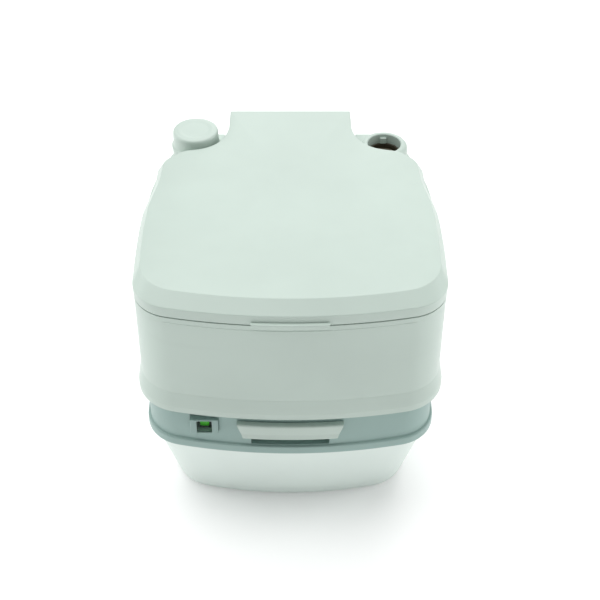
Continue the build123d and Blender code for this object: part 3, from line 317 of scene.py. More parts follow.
def clear_plastic(name, tone):
    """Clear moulded plastic with faint scratches."""
    maker = Maker(name)
    haze = maker.noise(120.0, 4.0)
    scratch = maker.noise(700.0, 2.0, where=maker.stretch((1.0, 1.0, 14.0), (0.0, 0.5, 0.0)))
    return maker.finish((*tone, 1), 0.05 + 0.08 * haze, maker.bump(scratch, 0.05, 0.00004),
                        Alpha=0.05 + 0.05 * haze)


def milky_hose(name, tone):
    """Translucent hose."""
    maker = Maker(name)
    cloud = maker.noise(90.0, 4.0)
    base = maker.blend(cloud.clamp(0.3, 0.7), shaded(tone, 0.92), tone)
    return maker.finish(base, 0.28 + 0.1 * cloud, maker.bump(maker.noise(700.0), 0.1, 0.00005),
                        Subsurface_Weight=0.4, Subsurface_Scale=0.004)


def two_tone_flag(name, green, red, split):
    """A flag whose upper part is red and whose lower part is green."""
    maker = Maker(name)
    height = maker.node("ShaderNodeSeparateXYZ", {}, maker.place(), out="Z")
    grain = maker.noise(220.0, 4.0)
    lower = maker.blend(grain.clamp(0.3, 0.7), shaded(green, 0.85), shaded(green, 1.1))
    upper = maker.blend(grain.clamp(0.3, 0.7), shaded(red, 0.85), shaded(red, 1.1))
    base = maker.blend(height.clamp(split - 0.0002, split + 0.0002), lower, upper)
    return maker.finish(base, 0.38 + 0.1 * grain, maker.bump(maker.noise(1500.0), 0.2, 0.00004))


# ---- Outlines and shells -----------------------------------------------------------------------------
def curve(knots, samples):
    """Points on a smooth curve through knots of (x, y, heading in degrees)."""
    points = []
    for (x0, y0, turn0), (x1, y1, turn1) in zip(knots, knots[1:]):
        chord = math.hypot(x1 - x0, y1 - y0)
        bend = math.radians(turn1 - turn0) / 4
        reach = chord / 3 / max(math.cos(bend), 0.4) ** 2
        start, end = np.array((x0, y0)), np.array((x1, y1))
        first = start + reach * np.array((math.cos(math.radians(turn0)), math.sin(math.radians(turn0))))
        second = end - reach * np.array((math.cos(math.radians(turn1)), math.sin(math.radians(turn1))))
        for t in np.arange(samples) / samples:
            points.append((1 - t) ** 3 * start + 3 * (1 - t) ** 2 * t * first
                          + 3 * (1 - t) * t * t * second + t ** 3 * end)
    points.append(np.array(knots[-1][:2]))
    return np.array(points)


def closed(right):
    """Mirror the right half of an outline, front to rear, into a closed loop."""
    left = right[-2:0:-1] * (-1, 1)
    return np.vstack((right, left))


def sweep_of(half, bow):
    """Radius of the arc that bows out by bow over the width of the front."""
    return ((half - MM) ** 2 + bow ** 2) / (2 * bow)


def front_corner(half, front, bow, radius):
    """Knots of a bowed front and the rounded corner that ends it, and where the side starts."""
    sweep = sweep_of(half, bow)
    centre_x = half - MM - radius
    centre_y = front + sweep - math.sqrt((sweep - radius) ** 2 - centre_x ** 2)
    lean = math.asin(centre_x / (sweep - radius))
    touch = (centre_x + radius * math.sin(lean), centre_y - radius * math.cos(lean), math.degrees(lean))
    return [(0, front, 0), touch, (half - MM, centre_y, 89.6)]


class Shapes:
    """The outlines that the shells share, worked out from the CAD boxes."""

    def __init__(self, sizes):
        self.sizes = sizes
        self.half = high("flush_tank").x - sizes.skirt_out
        self.front = low("flush_tank").y + sizes.skirt_out
        self.rear = high("waste_tank").y + sizes.tub_in
        self.lid_half = high("lid").x
        self.lid_front = -208 * MM
        self.neck = 84.5 * MM
        self.sweep = sweep_of(self.half, sizes.front_bow)
        self.neck_rear = high("lid").y

    def bowed(self, x, front):
        """Y of the bowed front at x."""
        return front + self.sweep - math.sqrt(self.sweep ** 2 - x ** 2)

    def plan(self, half, front, rear, corner=56 * MM):
        """A body outline: bowed front, nearly straight sides, haunches and a flat rear."""
        heading, rounding, haunch_in = 112.1, 45 * MM, 46 * MM
        tangent = rounding * math.tan(math.radians((180 - heading) / 2))
        lean_x, lean_y = math.cos(math.radians(heading)), math.sin(math.radians(heading))
        knots = front_corner(half, front, self.sizes.front_bow, corner) + [
            (half, -70 * MM, 90), (half - 1.7 * MM, 0.22 * rear, 92.4),
            (half - 8.5 * MM, 0.48 * rear, 101), (half - 24 * MM, 0.74 * rear, 110.5),
            (half - haunch_in - tangent * lean_x, rear - tangent * lean_y, heading),
            (half - haunch_in - tangent, rear, 180), (0, rear, 180),
        ]
        return closed(curve(knots, self.sizes.detail))

    def body(self, grow=0.0):
        """The flush tank's plan, grown or shrunk."""
        return self.plan(self.half + grow, self.front - grow, self.rear + grow, corner=56 * MM + grow)

    def lid(self, side_in=0.0, front_in=0.0, neck_in=0.0, rear=None):
        """The lid's plan: bowed front, sides that step in to shoulders, scallops and a neck."""
        half = self.lid_half - side_in
        neck = self.neck - neck_in
        rear = rear or self.neck_rear
        knots = front_corner(half, self.lid_front + front_in, self.sizes.front_bow, 52 * MM) + [
            (half, -80 * MM, 90), (half - 1.5 * MM, -14 * MM, 93.5), (half - 6.6 * MM, 20 * MM, 99.5),
            (half - 11.6 * MM, 52 * MM, 94.5), (half - 13 * MM, 84 * MM - neck_in, 92),
            (half - 21 * MM, 101 * MM - neck_in, 134), (139 * MM, 116.5 * MM - neck_in, 163),
            (113.2 * MM - neck_in / 2, 124.2 * MM - neck_in, 153),
            (94.6 * MM - neck_in, 141.5 * MM - neck_in / 2, 120), (87.2 * MM - neck_in, 159 * MM, 103),
            (neck, min(180 * MM, rear - 4 * MM), 91), (neck, rear, 90),
        ]
        side = curve(knots, self.sizes.detail)
        end = curve([(neck, rear, 180), (0, rear, 180)], self.sizes.detail)
        return closed(np.vstack((side, end[1:])))


def at(loop, height):
    """A flat loop lifted to a height."""
    return np.column_stack((loop, np.full(len(loop), height)))


def linked(name, data):
    """A new object in the scene."""
    made = bpy.data.objects.new(name, data)
    bpy.context.collection.objects.link(made)
    return made


def settled(host):
    """The host's mesh with its modifiers worked out."""
    graph = bpy.context.evaluated_depsgraph_get()
    return bpy.data.meshes.new_from_object(host.evaluated_get(graph))


def piece(name, mesh, material, body, replaces=()):
    """Wrap a finished mesh as a piece that rides on a body."""
    made = linked(name, mesh)
    mesh.materials.clear()
    mesh.materials.append(bpy.data.materials[material])
    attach(made, body)
    if replaces:
        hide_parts(*replaces)
    return made


def skin(rings, first_pole=None, last_pole=None, wrap=False):
    """Join rings of equal length into a surface, closed by poles or by wrapping round."""
    count = len(rings[0])
    points = [tuple(point) for ring in rings for point in ring]
    faces = []
    pairs = list(zip(range(len(rings) - 1), range(1, len(rings))))
    if wrap:
        pairs.append((len(rings) - 1, 0))
    for lower, upper in pairs:
        for index in range(count):
            after = (index + 1) % count
            faces.append((lower * count + index, lower * count + after, upper * count + after,
                          upper * count + index))
    last = (len(rings) - 1) * count
    if first_pole is not None:
        points.append(tuple(first_pole))
        faces.extend((len(points) - 1, (index + 1) % count, index) for index in range(count))
    if last_pole is not None:
        points.append(tuple(last_pole))
        faces.extend((len(points) - 1, last + index, last + (index + 1) % count) for index in range(count))
    mesh = bpy.data.meshes.new("skin")
    mesh.from_pydata(points, [], faces)
    return mesh


def tidy_shading(mesh, sharp=32):
    """Smooth all but the sharp edges."""
    mesh.shade_smooth()
    mesh.set_sharp_from_angle(angle=math.radians(sharp))
    return mesh


def tidy(mesh, sharp=32):
    """Merge doubles, turn faces outwards and smooth all but the sharp edges."""
    work = bmesh.new()
    work.from_mesh(mesh)
    bmesh.ops.remove_doubles(work, verts=work.verts, dist=1e-6)
    bmesh.ops.dissolve_degenerate(work, edges=work.edges, dist=1e-7)
    bmesh.ops.recalc_face_normals(work, faces=work.faces)
    if work.calc_volume(signed=True) < 0:
        bmesh.ops.reverse_faces(work, faces=work.faces)
    work.to_mesh(mesh)
    work.free()
    return tidy_shading(mesh, sharp)


def combine(base, others, operation):
    """Boolean of one mesh with several others, as a plain mesh."""
    host = linked("host", base)
    tools = [linked("tool", other) for other in others]
    for tool in tools:
        change = host.modifiers.new("cut", "BOOLEAN")
        change.operation, change.solver, change.object = operation, "EXACT", tool
    result = settled(host)
    for made in tools + [host]:
        bpy.data.objects.remove(made)
    return result


def block(lowest, highest, radius=0.0, segments=3):
    """A box with rounded edges, from corner to corner."""
    work = bmesh.new()
    size = Vector(highest) - Vector(lowest)
    place = Matrix.Translation((Vector(highest) + Vector(lowest)) / 2) @ Matrix.Diagonal((*size, 1))
    bmesh.ops.create_cube(work, size=1, matrix=place)
    if radius:
        bmesh.ops.bevel(work, geom=work.edges[:], offset=radius, segments=segments, profile=0.5,
                        affect="EDGES")
    mesh = bpy.data.meshes.new("block")
    work.to_mesh(mesh)
    work.free()
    return mesh


def lathe(profile, centre, axis="Z", steps=96):
    """Turn a profile of (radius, height) round an axis through centre."""
    turns = np.linspace(0, 2 * math.pi, steps, endpoint=False)
    rings, poles = [], [None, None]
    for index, (radius, height) in enumerate(profile):
        if radius < 1e-7:
            poles[0 if index == 0 else 1] = (0, 0, height)
        else:
            rings.append(np.column_stack((radius * np.cos(turns), radius * np.sin(turns),
                                          np.full(steps, height))))
    mesh = skin(rings, *poles, wrap=poles == [None, None])
    turn = {"Z": Matrix(), "X": Matrix.Rotation(math.pi / 2, 4, "Y"),
            "Y": Matrix.Rotation(-math.pi / 2, 4, "X")}[axis]
    mesh.transform(Matrix.Translation(centre) @ turn)
    return mesh


def rounded(corners, samples=5):
    """Points along corners of (coordinates, rounding), each corner turned into an arc."""
    points = [np.array(corners[0][:-1])]
    for before, here, after in zip(corners, corners[1:], corners[2:]):
        corner, rounding = np.array(here[:-1]), here[-1]
        into, out = corner - np.array(before[:-1]), np.array(after[:-1]) - corner
        into, out = into / np.linalg.norm(into), out / np.linalg.norm(out)
        turn = math.acos(float(np.clip(into @ out, -1, 1)))
        if rounding <= 0 or turn < 1e-3:
            points.append(corner)
            continue
        reach = rounding * math.tan(turn / 2)
        first, last = corner - into * reach, corner + out * reach
        for t in np.linspace(0, 1, samples + 1):
            points.append((1 - t) ** 2 * first + 2 * (1 - t) * t * corner + t ** 2 * last)
    points.append(np.array(corners[-1][:-1]))
    return [tuple(float(value) for value in point) for point in points]


def walls(outline, profile):
    """Rings of an outline at each (grow, height) of a profile."""
    return [at(outline(grow), height) for grow, height in profile]


def ellipse(half_x, half_y, middle_y, directions):
    """Points on an ellipse in the same directions from its middle as another loop's points."""
    turns = np.arctan2((directions[:, 1] - middle_y) / half_y, directions[:, 0] / half_x)
    return np.column_stack((half_x * np.cos(turns), middle_y + half_y * np.sin(turns)))


def drum(centre, radius, bottom, top, axis="Z", steps=72, radius_y=None):
    """A plain round cutter or boss from bottom to top along an axis."""
    mesh = lathe([(0, bottom), (radius, bottom), (radius, top), (0, top)], (0, 0, 0), steps=steps)
    if radius_y:
        mesh.transform(Matrix.Diagonal((1, radius_y / radius, 1, 1)))
    turn = {"Z": Matrix(), "X": Matrix.Rotation(math.pi / 2, 4, "Y")}[axis]
    mesh.transform(Matrix.Translation(centre) @ turn)
    return mesh


def eye(spot, radius, half_width, lowest, highest, rounding=0.0, steps=72):
    """A round boss across X with a foot. lowest and highest are the foot's (y, z) corners from its middle."""
    x, y, z = spot
    foot = block((x - half_width, y + lowest[0], z + lowest[1]), (x + half_width, y + highest[0], z + highest[1]),
                 rounding)
    return combine(drum(spot, radius, -half_width, half_width, "X", steps), [foot], "UNION")


def bar(name, rows):
    """A closed bar with flat ends, from rows of points that run its length."""
    count, columns = len(rows), len(rows[0])
    points = [row[index] for index in range(columns) for row in rows]
    faces = [(a * count + b, a * count + (b + 1) % count, (a + 1) * count + (b + 1) % count, (a + 1) * count + b)
             for a in range(columns - 1) for b in range(count)]
    faces += [tuple(range(count)), tuple((columns - 1) * count + b for b in range(count))]
    mesh = bpy.data.meshes.new(name)
    mesh.from_pydata(points, [], faces)
    return mesh


def flatten_normals(mesh):
    """Give broad faces flat normals and keep the roundings smooth."""
    host = linked("host", mesh)
    weigh = host.modifiers.new("weigh", "WEIGHTED_NORMAL")
    weigh.keep_sharp, weigh.weight = True, 100
    result = settled(host)
    bpy.data.objects.remove(host)
    return result


def softened(mesh, width, segments=2, angle=40):
    """Round a mesh's sharp edges, as a mould does."""
    host = linked("host", mesh)
    bevel = host.modifiers.new("soften", "BEVEL")
    bevel.width, bevel.segments, bevel.limit_method = width, segments, "ANGLE"
    bevel.angle_limit, bevel.use_clamp_overlap, bevel.miter_outer = math.radians(angle), True, "MITER_ARC"
    result = settled(host)
    bpy.data.objects.remove(host)
    return result


def volume(mesh):
    """Volume enclosed by a mesh."""
    work = bmesh.new()
    work.from_mesh(mesh)
    size = work.calc_volume()
    work.free()
    return size


# ---- Geometry Nodes for what repeats -----------------------------------------------------------------
class Repeater:
    """A Geometry Nodes tree with named inputs, run once and turned into a plain mesh."""

    def __init__(self, name, inputs):
        self.tree = bpy.data.node_groups.new(name, "GeometryNodeTree")
        self.tree.interface.new_socket("Geometry", in_out="OUTPUT", socket_type="NodeSocketGeometry")
        self.sockets = {}
        for label, (kind, value) in inputs.items():
            self.sockets[label] = (self.tree.interface.new_socket(label, in_out="INPUT", socket_type=kind), value)
        self.source = self.tree.nodes.new("NodeGroupInput")
        self.result = self.tree.nodes.new("NodeGroupOutput")

    def node(self, kind, settings=None, out=0, **values):
        """Add a node and give one of its outputs. A value may be a number or another output."""
        made = self.tree.nodes.new(kind)
        for key, value in (settings or {}).items():
            setattr(made, key, value)
        for key, value in values.items():
            socket = made.inputs[key.replace("_", " ")]
            if isinstance(value, bpy.types.NodeSocket):
                self.tree.links.new(value, socket)
            else:
                socket.default_value = value
        return made.outputs[out]

    def given(self, label):
        """One of the tree's inputs."""
        return self.source.outputs[label]

    def spread(self, points, turn, template):
        """Put a template on points, turned, made real and given its material."""
        shape = self.node("GeometryNodeObjectInfo", out="Geometry", Object=template)
        copies = self.node("GeometryNodeInstanceOnPoints", Points=points, Instance=shape, Rotation=turn)
        real = self.node("GeometryNodeRealizeInstances", Geometry=copies)
        done = self.node("GeometryNodeSetMaterial", Geometry=real, Material=self.given("Material"))
        self.tree.links.new(done, self.result.inputs[0])

    def mesh(self):
        """Run the tree and give its plain mesh."""
        host = linked("host", bpy.data.meshes.new("host"))
        modifier = host.modifiers.new("repeat", "NODES")
        modifier.node_group = self.tree
        for socket, value in self.sockets.values():
            modifier[socket.identifier] = value
        result = settled(host)
        host.modifiers.remove(modifier)
        bpy.data.objects.remove(host)
        return result


def ring_of(template, count, radius, material):
    """A template repeated round the Z axis, its X axis outwards."""
    repeater = Repeater("ring_of_copies", {
        "Count": ("NodeSocketInt", count), "Radius": ("NodeSocketFloat", radius),
        "Template": ("NodeSocketObject", template), "Material": ("NodeSocketMaterial", material),
    })
    circle = repeater.node("GeometryNodeMeshCircle", Vertices=repeater.given("Count"),
                           Radius=repeater.given("Radius"))
    place = repeater.node("GeometryNodeInputPosition")
    turn = repeater.node("FunctionNodeAlignRotationToVector", {"axis": "X"}, Vector=place)
    repeater.spread(circle, turn, repeater.given("Template"))
    return repeater.mesh()


def grid_of(template, wide, deep, across, back, material):
    """A template repeated on the corners of a grid."""
    repeater = Repeater("grid_of_copies", {
        "Wide": ("NodeSocketFloat", wide), "Deep": ("NodeSocketFloat", deep),
        "Across": ("NodeSocketInt", across), "Back": ("NodeSocketInt", back),
        "Template": ("NodeSocketObject", template), "Material": ("NodeSocketMaterial", material),
    })
    grid = repeater.node("GeometryNodeMeshGrid", **{
        "Size_X": repeater.given("Wide"), "Size_Y": repeater.given("Deep"),
        "Vertices_X": repeater.given("Across"), "Vertices_Y": repeater.given("Back")})
    seed = repeater.node("FunctionNodeRandomValue", {"data_type": "FLOAT"}, out=1, Seed=7)
    turn = repeater.node("FunctionNodeAxisAngleToRotation", Axis=(0.0, 0.0, 1.0), Angle=seed)
    repeater.spread(grid, turn, repeater.given("Template"))
    return repeater.mesh()


def template_of(mesh):
    """An object to repeat, kept out of the scene."""
    return bpy.data.objects.new("template", mesh)


# ---- Finishes and the pieces that keep their drawn shape ---------------------------------------------
class Step(bpy.types.Operator):
    """One step of building the toilet."""
    bl_options = {"REGISTER", "UNDO"}

    def execute(self, context):
        self.build(context.scene.toilet_sizes, context.scene.toilet_colours)
        return {"FINISHED"}


def finish_for(node):
    """The finish of a CAD node, from its own name or its record slot."""
    # fill_cap gets the dark cap finish, which is partly its own dark plastic and partly painted shade of the deep
    # fill well.
    special = {"level_flag": "flag", "flush_hose": "hose", "indicator_bezel": "bezel", "valve_handle": "shell",
               "fill_cap": "cap", "fill_cap_seal": "rubber"}
    by_slot = {"white_plastic": "shell", "white_tub": "tub", "grey_plastic": "fittings", "dark_plastic": "dark",
               "flag_plastic": "flag", "lens_plastic": "lens", "black_rubber": "rubber",
               "grey_rubber": "bumper", "steel": "steel"}
    return special.get(node) or by_slot[slot_of(node)]


def slot_of(node):
    """The record's material slot of a CAD node."""
    return SLOTS[node]


SLOTS = {name: made.material_slots[0].material.name.split(".")[0] for name, made in frame["nodes"].items()}
BODY_OF = {name: made.parent.name.split(":")[-1] for name, made in frame["nodes"].items()}
FINE_PIECES = ("lid", "flush_tank", "tank_cover", "waste_tank", "valve_handle", "seat", "pump_knob", "fill_neck",
               "fill_cap", "dump_cap", "valve_screws", "handle_screws")


class TOILET_OT_finishes(Step):
    """Make the plastics, rubbers and metals"""
    bl_idname = "toilet.finishes"
    bl_label = "Finishes"

    def build(self, sizes, colours):
        moulded_plastic("shell", colours.shell, grain=0.30, gloss=0.30)
        moulded_plastic("tub", colours.tub, grain=0.22, gloss=0.33, flow=0.012)
        moulded_plastic("band", colours.band, grain=0.45, gloss=0.36)
        moulded_plastic("fittings", colours.fittings, grain=0.45, gloss=0.36)
        moulded_plastic("dark", colours.dark, grain=0.40, gloss=0.32)
        # The fill cap is drawn dark: partly its own dark plastic, partly painted shade standing in for the shadow
        # deep in the fill well.
        moulded_plastic("cap", shaded(colours.dark, 1.6), grain=0.40, gloss=0.30)
        moulded_plastic("bezel", shaded(colours.band, 0.93), grain=0.35, gloss=0.30)
        two_tone_flag("flag", colours.flag, colours.flag_full, high("indicator_window").z)
        rubber("rubber", colours.rubber)
        rubber("bumper", colours.bumper)
        drawn_steel("steel", colours.steel)
        clear_plastic("lens", (0.07, 0.09, 0.08))
        milky_hose("hose", (0.62, 0.66, 0.62))
        for node, made in frame["nodes"].items():
            for holder in made.material_slots:
                holder.material = bpy.data.materials[finish_for(node)]


class TOILET_OT_fittings(Step):
    """Soften the edges of the valve, float, vent, spout, pump and hinge pieces"""
    bl_idname = "toilet.fittings"
    bl_label = "Fittings"

    def build(self, sizes, colours):
        for node, drawn in frame["nodes"].items():
            if node in FINE_PIECES:
                continue
            plain = drawn.data.copy()
            work = bmesh.new()
            work.from_mesh(plain)
            bmesh.ops.remove_doubles(work, verts=work.verts, dist=2e-6)
            bmesh.ops.dissolve_limit(work, angle_limit=math.radians(0.8), verts=work.verts, edges=work.edges)
            work.to_mesh(plain)
            work.free()
            soft = softened(plain, 0.35 * MM)
            if abs(volume(soft) - volume(plain)) > 0.04 * volume(plain):
                soft = plain
            mesh = flatten_normals(tidy_shading(soft))
            made = piece(node + "_moulded", mesh, finish_for(node), BODY_OF[node], (node,))
            if node == "vent_spring":
                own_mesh(made)


# ---- Waste section -----------------------------------------------------------------------------------
class TOILET_OT_tub(Step):
    """Blow-moulded tub with the spout's niche"""
    bl_idname = "toilet.tub"
    bl_label = "Tub"

    def build(self, sizes, colours):
        shapes = Shapes(sizes)
        top = low("tank_cover").z
        foot_half, foot_front, foot_rear = 160 * MM, -125.5 * MM, 178 * MM

        def section(grow, height):
            part = max(height, 0) / top
            half = foot_half + part * (shapes.half - sizes.tub_in - foot_half)
            front = foot_front + part * (shapes.front + sizes.tub_in - foot_front)
            rear = foot_rear + part * (shapes.rear - sizes.tub_in - foot_rear)
            return at(shapes.plan(half + grow, front - grow, rear + grow, corner=(56 - 9 * part) * MM), height)

        outside = rounded([(-12 * MM, 0, 0), (0, 0, 6 * MM), (0, 40 * MM, 0), (0, 90 * MM, 0),
                           (0, 140 * MM, 0), (0, top, 0)])
        inside = [(-sizes.wall, top), (-sizes.wall, 90 * MM), (-sizes.wall, sizes.wall)]
        shell = tidy(skin([section(*level) for level in outside + inside], (0, 0, 0), (0, 0, sizes.wall)))
        solid = tidy(skin([section(*level) for level in outside], (0, 0, 0), (0, 0, top)))
        left, right, floor, roof, front = -95 * MM, 142 * MM, 100 * MM, 165 * MM, 136 * MM
        lining = combine(block((left - sizes.wall, front - sizes.wall, floor - sizes.wall),
                               (right + sizes.wall, 0.26, top)), [solid], "INTERSECT")
        spout = middle("spout_collar")
        body = combine(shell, [lining], "UNION")
        body = combine(body, [block((left, front, floor), (right, 0.28, roof), 3 * MM)], "DIFFERENCE")
        body = combine(body, [drum((spout.x, spout.y, 0), 20.5 * MM, floor - 1 * MM, floor + 14 * MM)], "UNION")
        body = combine(body, [drum((spout.x, spout.y, 0), 17.5 * MM, floor - 5 * MM, floor + 20 * MM)],
                       "DIFFERENCE")
        piece("tub", flatten_normals(tidy(body)), "tub", "waste_section", ("waste_tank",))


class TOILET_OT_cover(Step):
    """Grey cover with its rolled lip, recessed band, deck and pockets"""
    bl_idname = "toilet.cover"
    bl_label = "Tank cover"

    def build(self, sizes, colours):
        shapes = Shapes(sizes)
        bottom, top = low("tank_cover").z, high("tank_cover").z
        lip_top, strip_bottom, deck = 180 * MM, 227 * MM, low("valve_body").z
        lip, face, strip, inner = -sizes.lip_in, -sizes.face_in, -sizes.strip_in, -sizes.tub_in
        small = 0.6 * MM
        profile = rounded([
            (inner - 0.5 * MM, deck - sizes.wall, 0), (inner - 0.5 * MM, bottom, 0.3 * MM), (lip, bottom, small),
            (lip, lip_top, 3.0 * MM), (face, lip_top, small), (face, strip_bottom, small),
            (strip, strip_bottom, small), (strip, top, small), (inner, top, small), (inner, deck, 1 * MM),
            (inner - 6 * MM, deck, 0)])
        cover = tidy(skin(walls(shapes.body, profile), (0, 0, deck - sizes.wall), (0, 0, deck)))
        valve, vent, pin = middle("valve_seal"), middle("vent_housing"), middle("float_pin")
        front = shapes.front
        recess = block((-51.5 * MM, front + 8 * MM, 178.5 * MM), (51.5 * MM, front + 35.5 * MM, deck - 1 * MM))
        band = tidy(skin(walls(shapes.body, [(strip, strip_bottom - 5 * MM), (strip, strip_bottom + 1 * MM),
                                             (face - 0.4 * MM, strip_bottom + 1 * MM),
                                             (face - 0.4 * MM, strip_bottom - 5 * MM)]), wrap=True))
        corners = [combine(band, [block((side * 173.5 * MM - 26.5 * MM, front - 12 * MM, strip_bottom - 7 * MM),
                                        (side * 173.5 * MM + 26.5 * MM, 0.22, strip_bottom + 4 * MM), 2 * MM)],
                           "INTERSECT") for side in (-1, 1)]
        cover = combine(cover, [recess] + corners, "UNION")
        blade_low, blade_high = low("valve_blade").z, high("valve_blade").z
        cutters = [
            block((-49 * MM, front - 10 * MM, 181 * MM), (49 * MM, front + 31 * MM, deck - sizes.wall), 2 * MM),
            block((-46.6 * MM, front - 12 * MM, blade_low - small), (46.6 * MM, front + 12 * MM,
                                                                      blade_high + small)),
            drum((valve.x, valve.y, 0), 41 * MM, deck - 9 * MM, deck + 5 * MM),
            drum((vent.x, vent.y, 0), 5 * MM, deck - 9 * MM, deck + 5 * MM, steps=32),
            block((pin.x - 7 * MM, pin.y - 20 * MM, deck - 9 * MM), (pin.x + 7 * MM, pin.y + 43 * MM,
                                                                       deck + 5 * MM)),
            block((low("indicator_bezel").x - 0.2 * MM, front - 5 * MM, deck),
                  (high("indicator_bezel").x + 0.2 * MM, front + 25 * MM, high("indicator_bezel").z + 0.2 * MM)),
            block((-16 * MM, shapes.rear - 19 * MM, deck + 0.5 * MM), (16 * MM, shapes.rear + 1 * MM,
                                                                        deck + 15 * MM)),
        ]
        relief = tidy(skin(walls(shapes.body, [(8 * MM, strip_bottom - 3 * MM), (8 * MM, strip_bottom + 3.6 * MM),
                                               (face, strip_bottom + 3.6 * MM), (face, strip_bottom - 3 * MM)]),
                           wrap=True))
        cutters.append(combine(relief, [block((-147 * MM, front - 12 * MM, strip_bottom - 2 * MM),
                                              (147 * MM, front + 40 * MM, strip_bottom + 3.4 * MM), 1.5 * MM)],
                               "INTERSECT"))
        cover = combine(cover, cutters, "DIFFERENCE")
        pin_bore = 2.05 * MM
        lugs = []
        for side in (-1, 1):
            for pivot, centre, reach, radius, thick in (
                    (middle("latch_pin"), 17.5 * MM, 7.2 * MM, 4 * MM, 2 * MM),
                    (middle("carry_handle_pins"), 87.5 * MM, 6.8 * MM, 4.4 * MM, 3 * MM)):
                spot = (side * centre, pivot.y, pivot.z)
                lug = eye(spot, radius, thick, (-reach, -radius), (0, radius), steps=40)
                lugs.append(combine(lug, [drum(spot, pin_bore, -THROUGH, THROUGH, "X", 28)], "DIFFERENCE"))
            x = pin.x + side * 9.75 * MM
            lug = block((x - 1.75 * MM, pin.y - 5 * MM, deck - 1 * MM), (x + 1.75 * MM, pin.y + 5 * MM,
                                                                          pin.z + 4 * MM), 0.5 * MM)
            lugs.append(combine(lug, [drum(pin, 1.55 * MM, -20 * MM, 20 * MM, "X", 24)],
                                "DIFFERENCE"))
        cover = combine(cover, lugs, "UNION")
        piece("cover", flatten_normals(tidy(cover)), "band", "waste_section",
              ("tank_cover",))


class TOILET_OT_handle(Step):
    """Valve handle that follows the bowed front"""
    bl_idname = "toilet.handle"
    bl_label = "Valve handle"

    def build(self, sizes, colours):
        shapes = Shapes(sizes)
        bottom, top = low("valve_handle").z, high("valve_handle").z
        section = rounded([
            (-5.4 * MM, top - 3 * MM, 0), (-5.4 * MM, top, 0.5 * MM), (3.5 * MM, top, 2.6 * MM),
            (2.2 * MM, bottom + 7 * MM, 8 * MM), (3.5 * MM, bottom + 1.6 * MM, 1.2 * MM),
            (3.0 * MM, bottom, 1.2 * MM), (-0.8 * MM, bottom, 0.8 * MM), (-0.8 * MM, top - 3 * MM, 0.6 * MM),
            (-5.2 * MM, top - 3 * MM, 0)])
        foot_half, splay = 58.5 * MM, 7.5 * MM
        rows = []
        for out, height in section:
            half = foot_half + splay * (height - bottom) / (top - bottom)
            rows.append([(x, shapes.bowed(x, shapes.front) - out, height) for x in np.linspace(-half, half, 61)])
        mesh = softened(tidy(bar("handle", rows)), 0.9 * MM, 3, 60)
        blade = high("valve_blade").z
        ledge = block((-36 * MM, shapes.front - 2 * MM + 0.6 * MM, blade), (36 * MM, shapes.front + 5.5 * MM,
                                                                           blade + 3 * MM), 0.5 * MM)
        mesh = combine(mesh, [ledge], "UNION")
        piece("handle", flatten_normals(tidy(mesh)), "shell", "valve_slide",
              ("valve_handle",))


class TOILET_OT_cap(Step):
    """Ribbed cap on the end of the spout"""
    bl_idname = "toilet.cap"
    bl_label = "Spout cap"

    def build(self, sizes, colours):
        spot = middle("dump_cap")
        near, far = low("dump_cap").x, high("dump_cap").x
        seat_face, bore, outer = near + 4 * MM, 23.35 * MM, 26.2 * MM
        profile = rounded([(0, near, 0), (outer, near, 2.2 * MM), (outer, far, 0.8 * MM), (bore, far, 0.4 * MM),
                           (bore, seat_face, 0.6 * MM), (0, seat_face, 0)])
        shell = tidy(lathe(profile, (0, 0, 0), steps=96))
        rib = block((-0.9 * MM, -1.7 * MM, near + 2.4 * MM), (1.25 * MM, 1.7 * MM, far - 0.6 * MM), 0.7 * MM, 2)
        template = template_of(rib)
        ribs = ring_of(template, 16, outer, bpy.data.materials["dark"])
        bpy.data.objects.remove(template)
        shell = combine(shell, [ribs], "UNION")
        shell.transform(Matrix.Translation((0, spot.y, spot.z)) @ Matrix.Rotation(math.pi / 2, 4, "Y"))
        piece("cap", flatten_normals(tidy(shell)), "dark", "dump_cap", ("dump_cap",))


class TOILET_OT_screws(Step):
    """Screws that hold the slide valve and its handle"""
    bl_idname = "toilet.screws"
    bl_label = "Screws"

    def build(self, sizes, colours):
        for node, body, wide, deep, across, back, head, shank in (
                ("valve_screws", "waste_section", 102 * MM, 104 * MM, 2, 2, 3.6 * MM, 1.9 * MM),
                ("handle_screws", "valve_slide", 60 * MM, 0.0, 2, 1, 1.6 * MM, 0.98 * MM)):
            bottom, top, spot = low(node).z, high(node).z, middle(node)
            thick = 2.6 * MM if head > 2 * MM else 1.4 * MM
            profile = rounded([(0, bottom, 0), (shank, bottom, 0.3 * MM), (shank, top - thick, 0), (head, top - thick,
                              0.2 * MM), (head, top, 0.45 * thick), (0, top, 0)], 4)
            screw = tidy(lathe(profile, (0, 0, 0), steps=36))
            slot = [block((-0.7 * head, -0.13 * head, top - 0.45 * thick), (0.7 * head, 0.13 * head, top + thick)),
                    block((-0.13 * head, -0.7 * head, top - 0.45 * thick), (0.13 * head, 0.7 * head, top + thick))]
            template = template_of(tidy(combine(screw, slot, "DIFFERENCE")))
            mesh = grid_of(template, wide, deep, across, back, bpy.data.materials["steel"])
            bpy.data.objects.remove(template)
            mesh.transform(Matrix.Translation((spot.x, spot.y, 0)))
            piece(node + "_turned", tidy_shading(mesh), "steel", body, (node,))


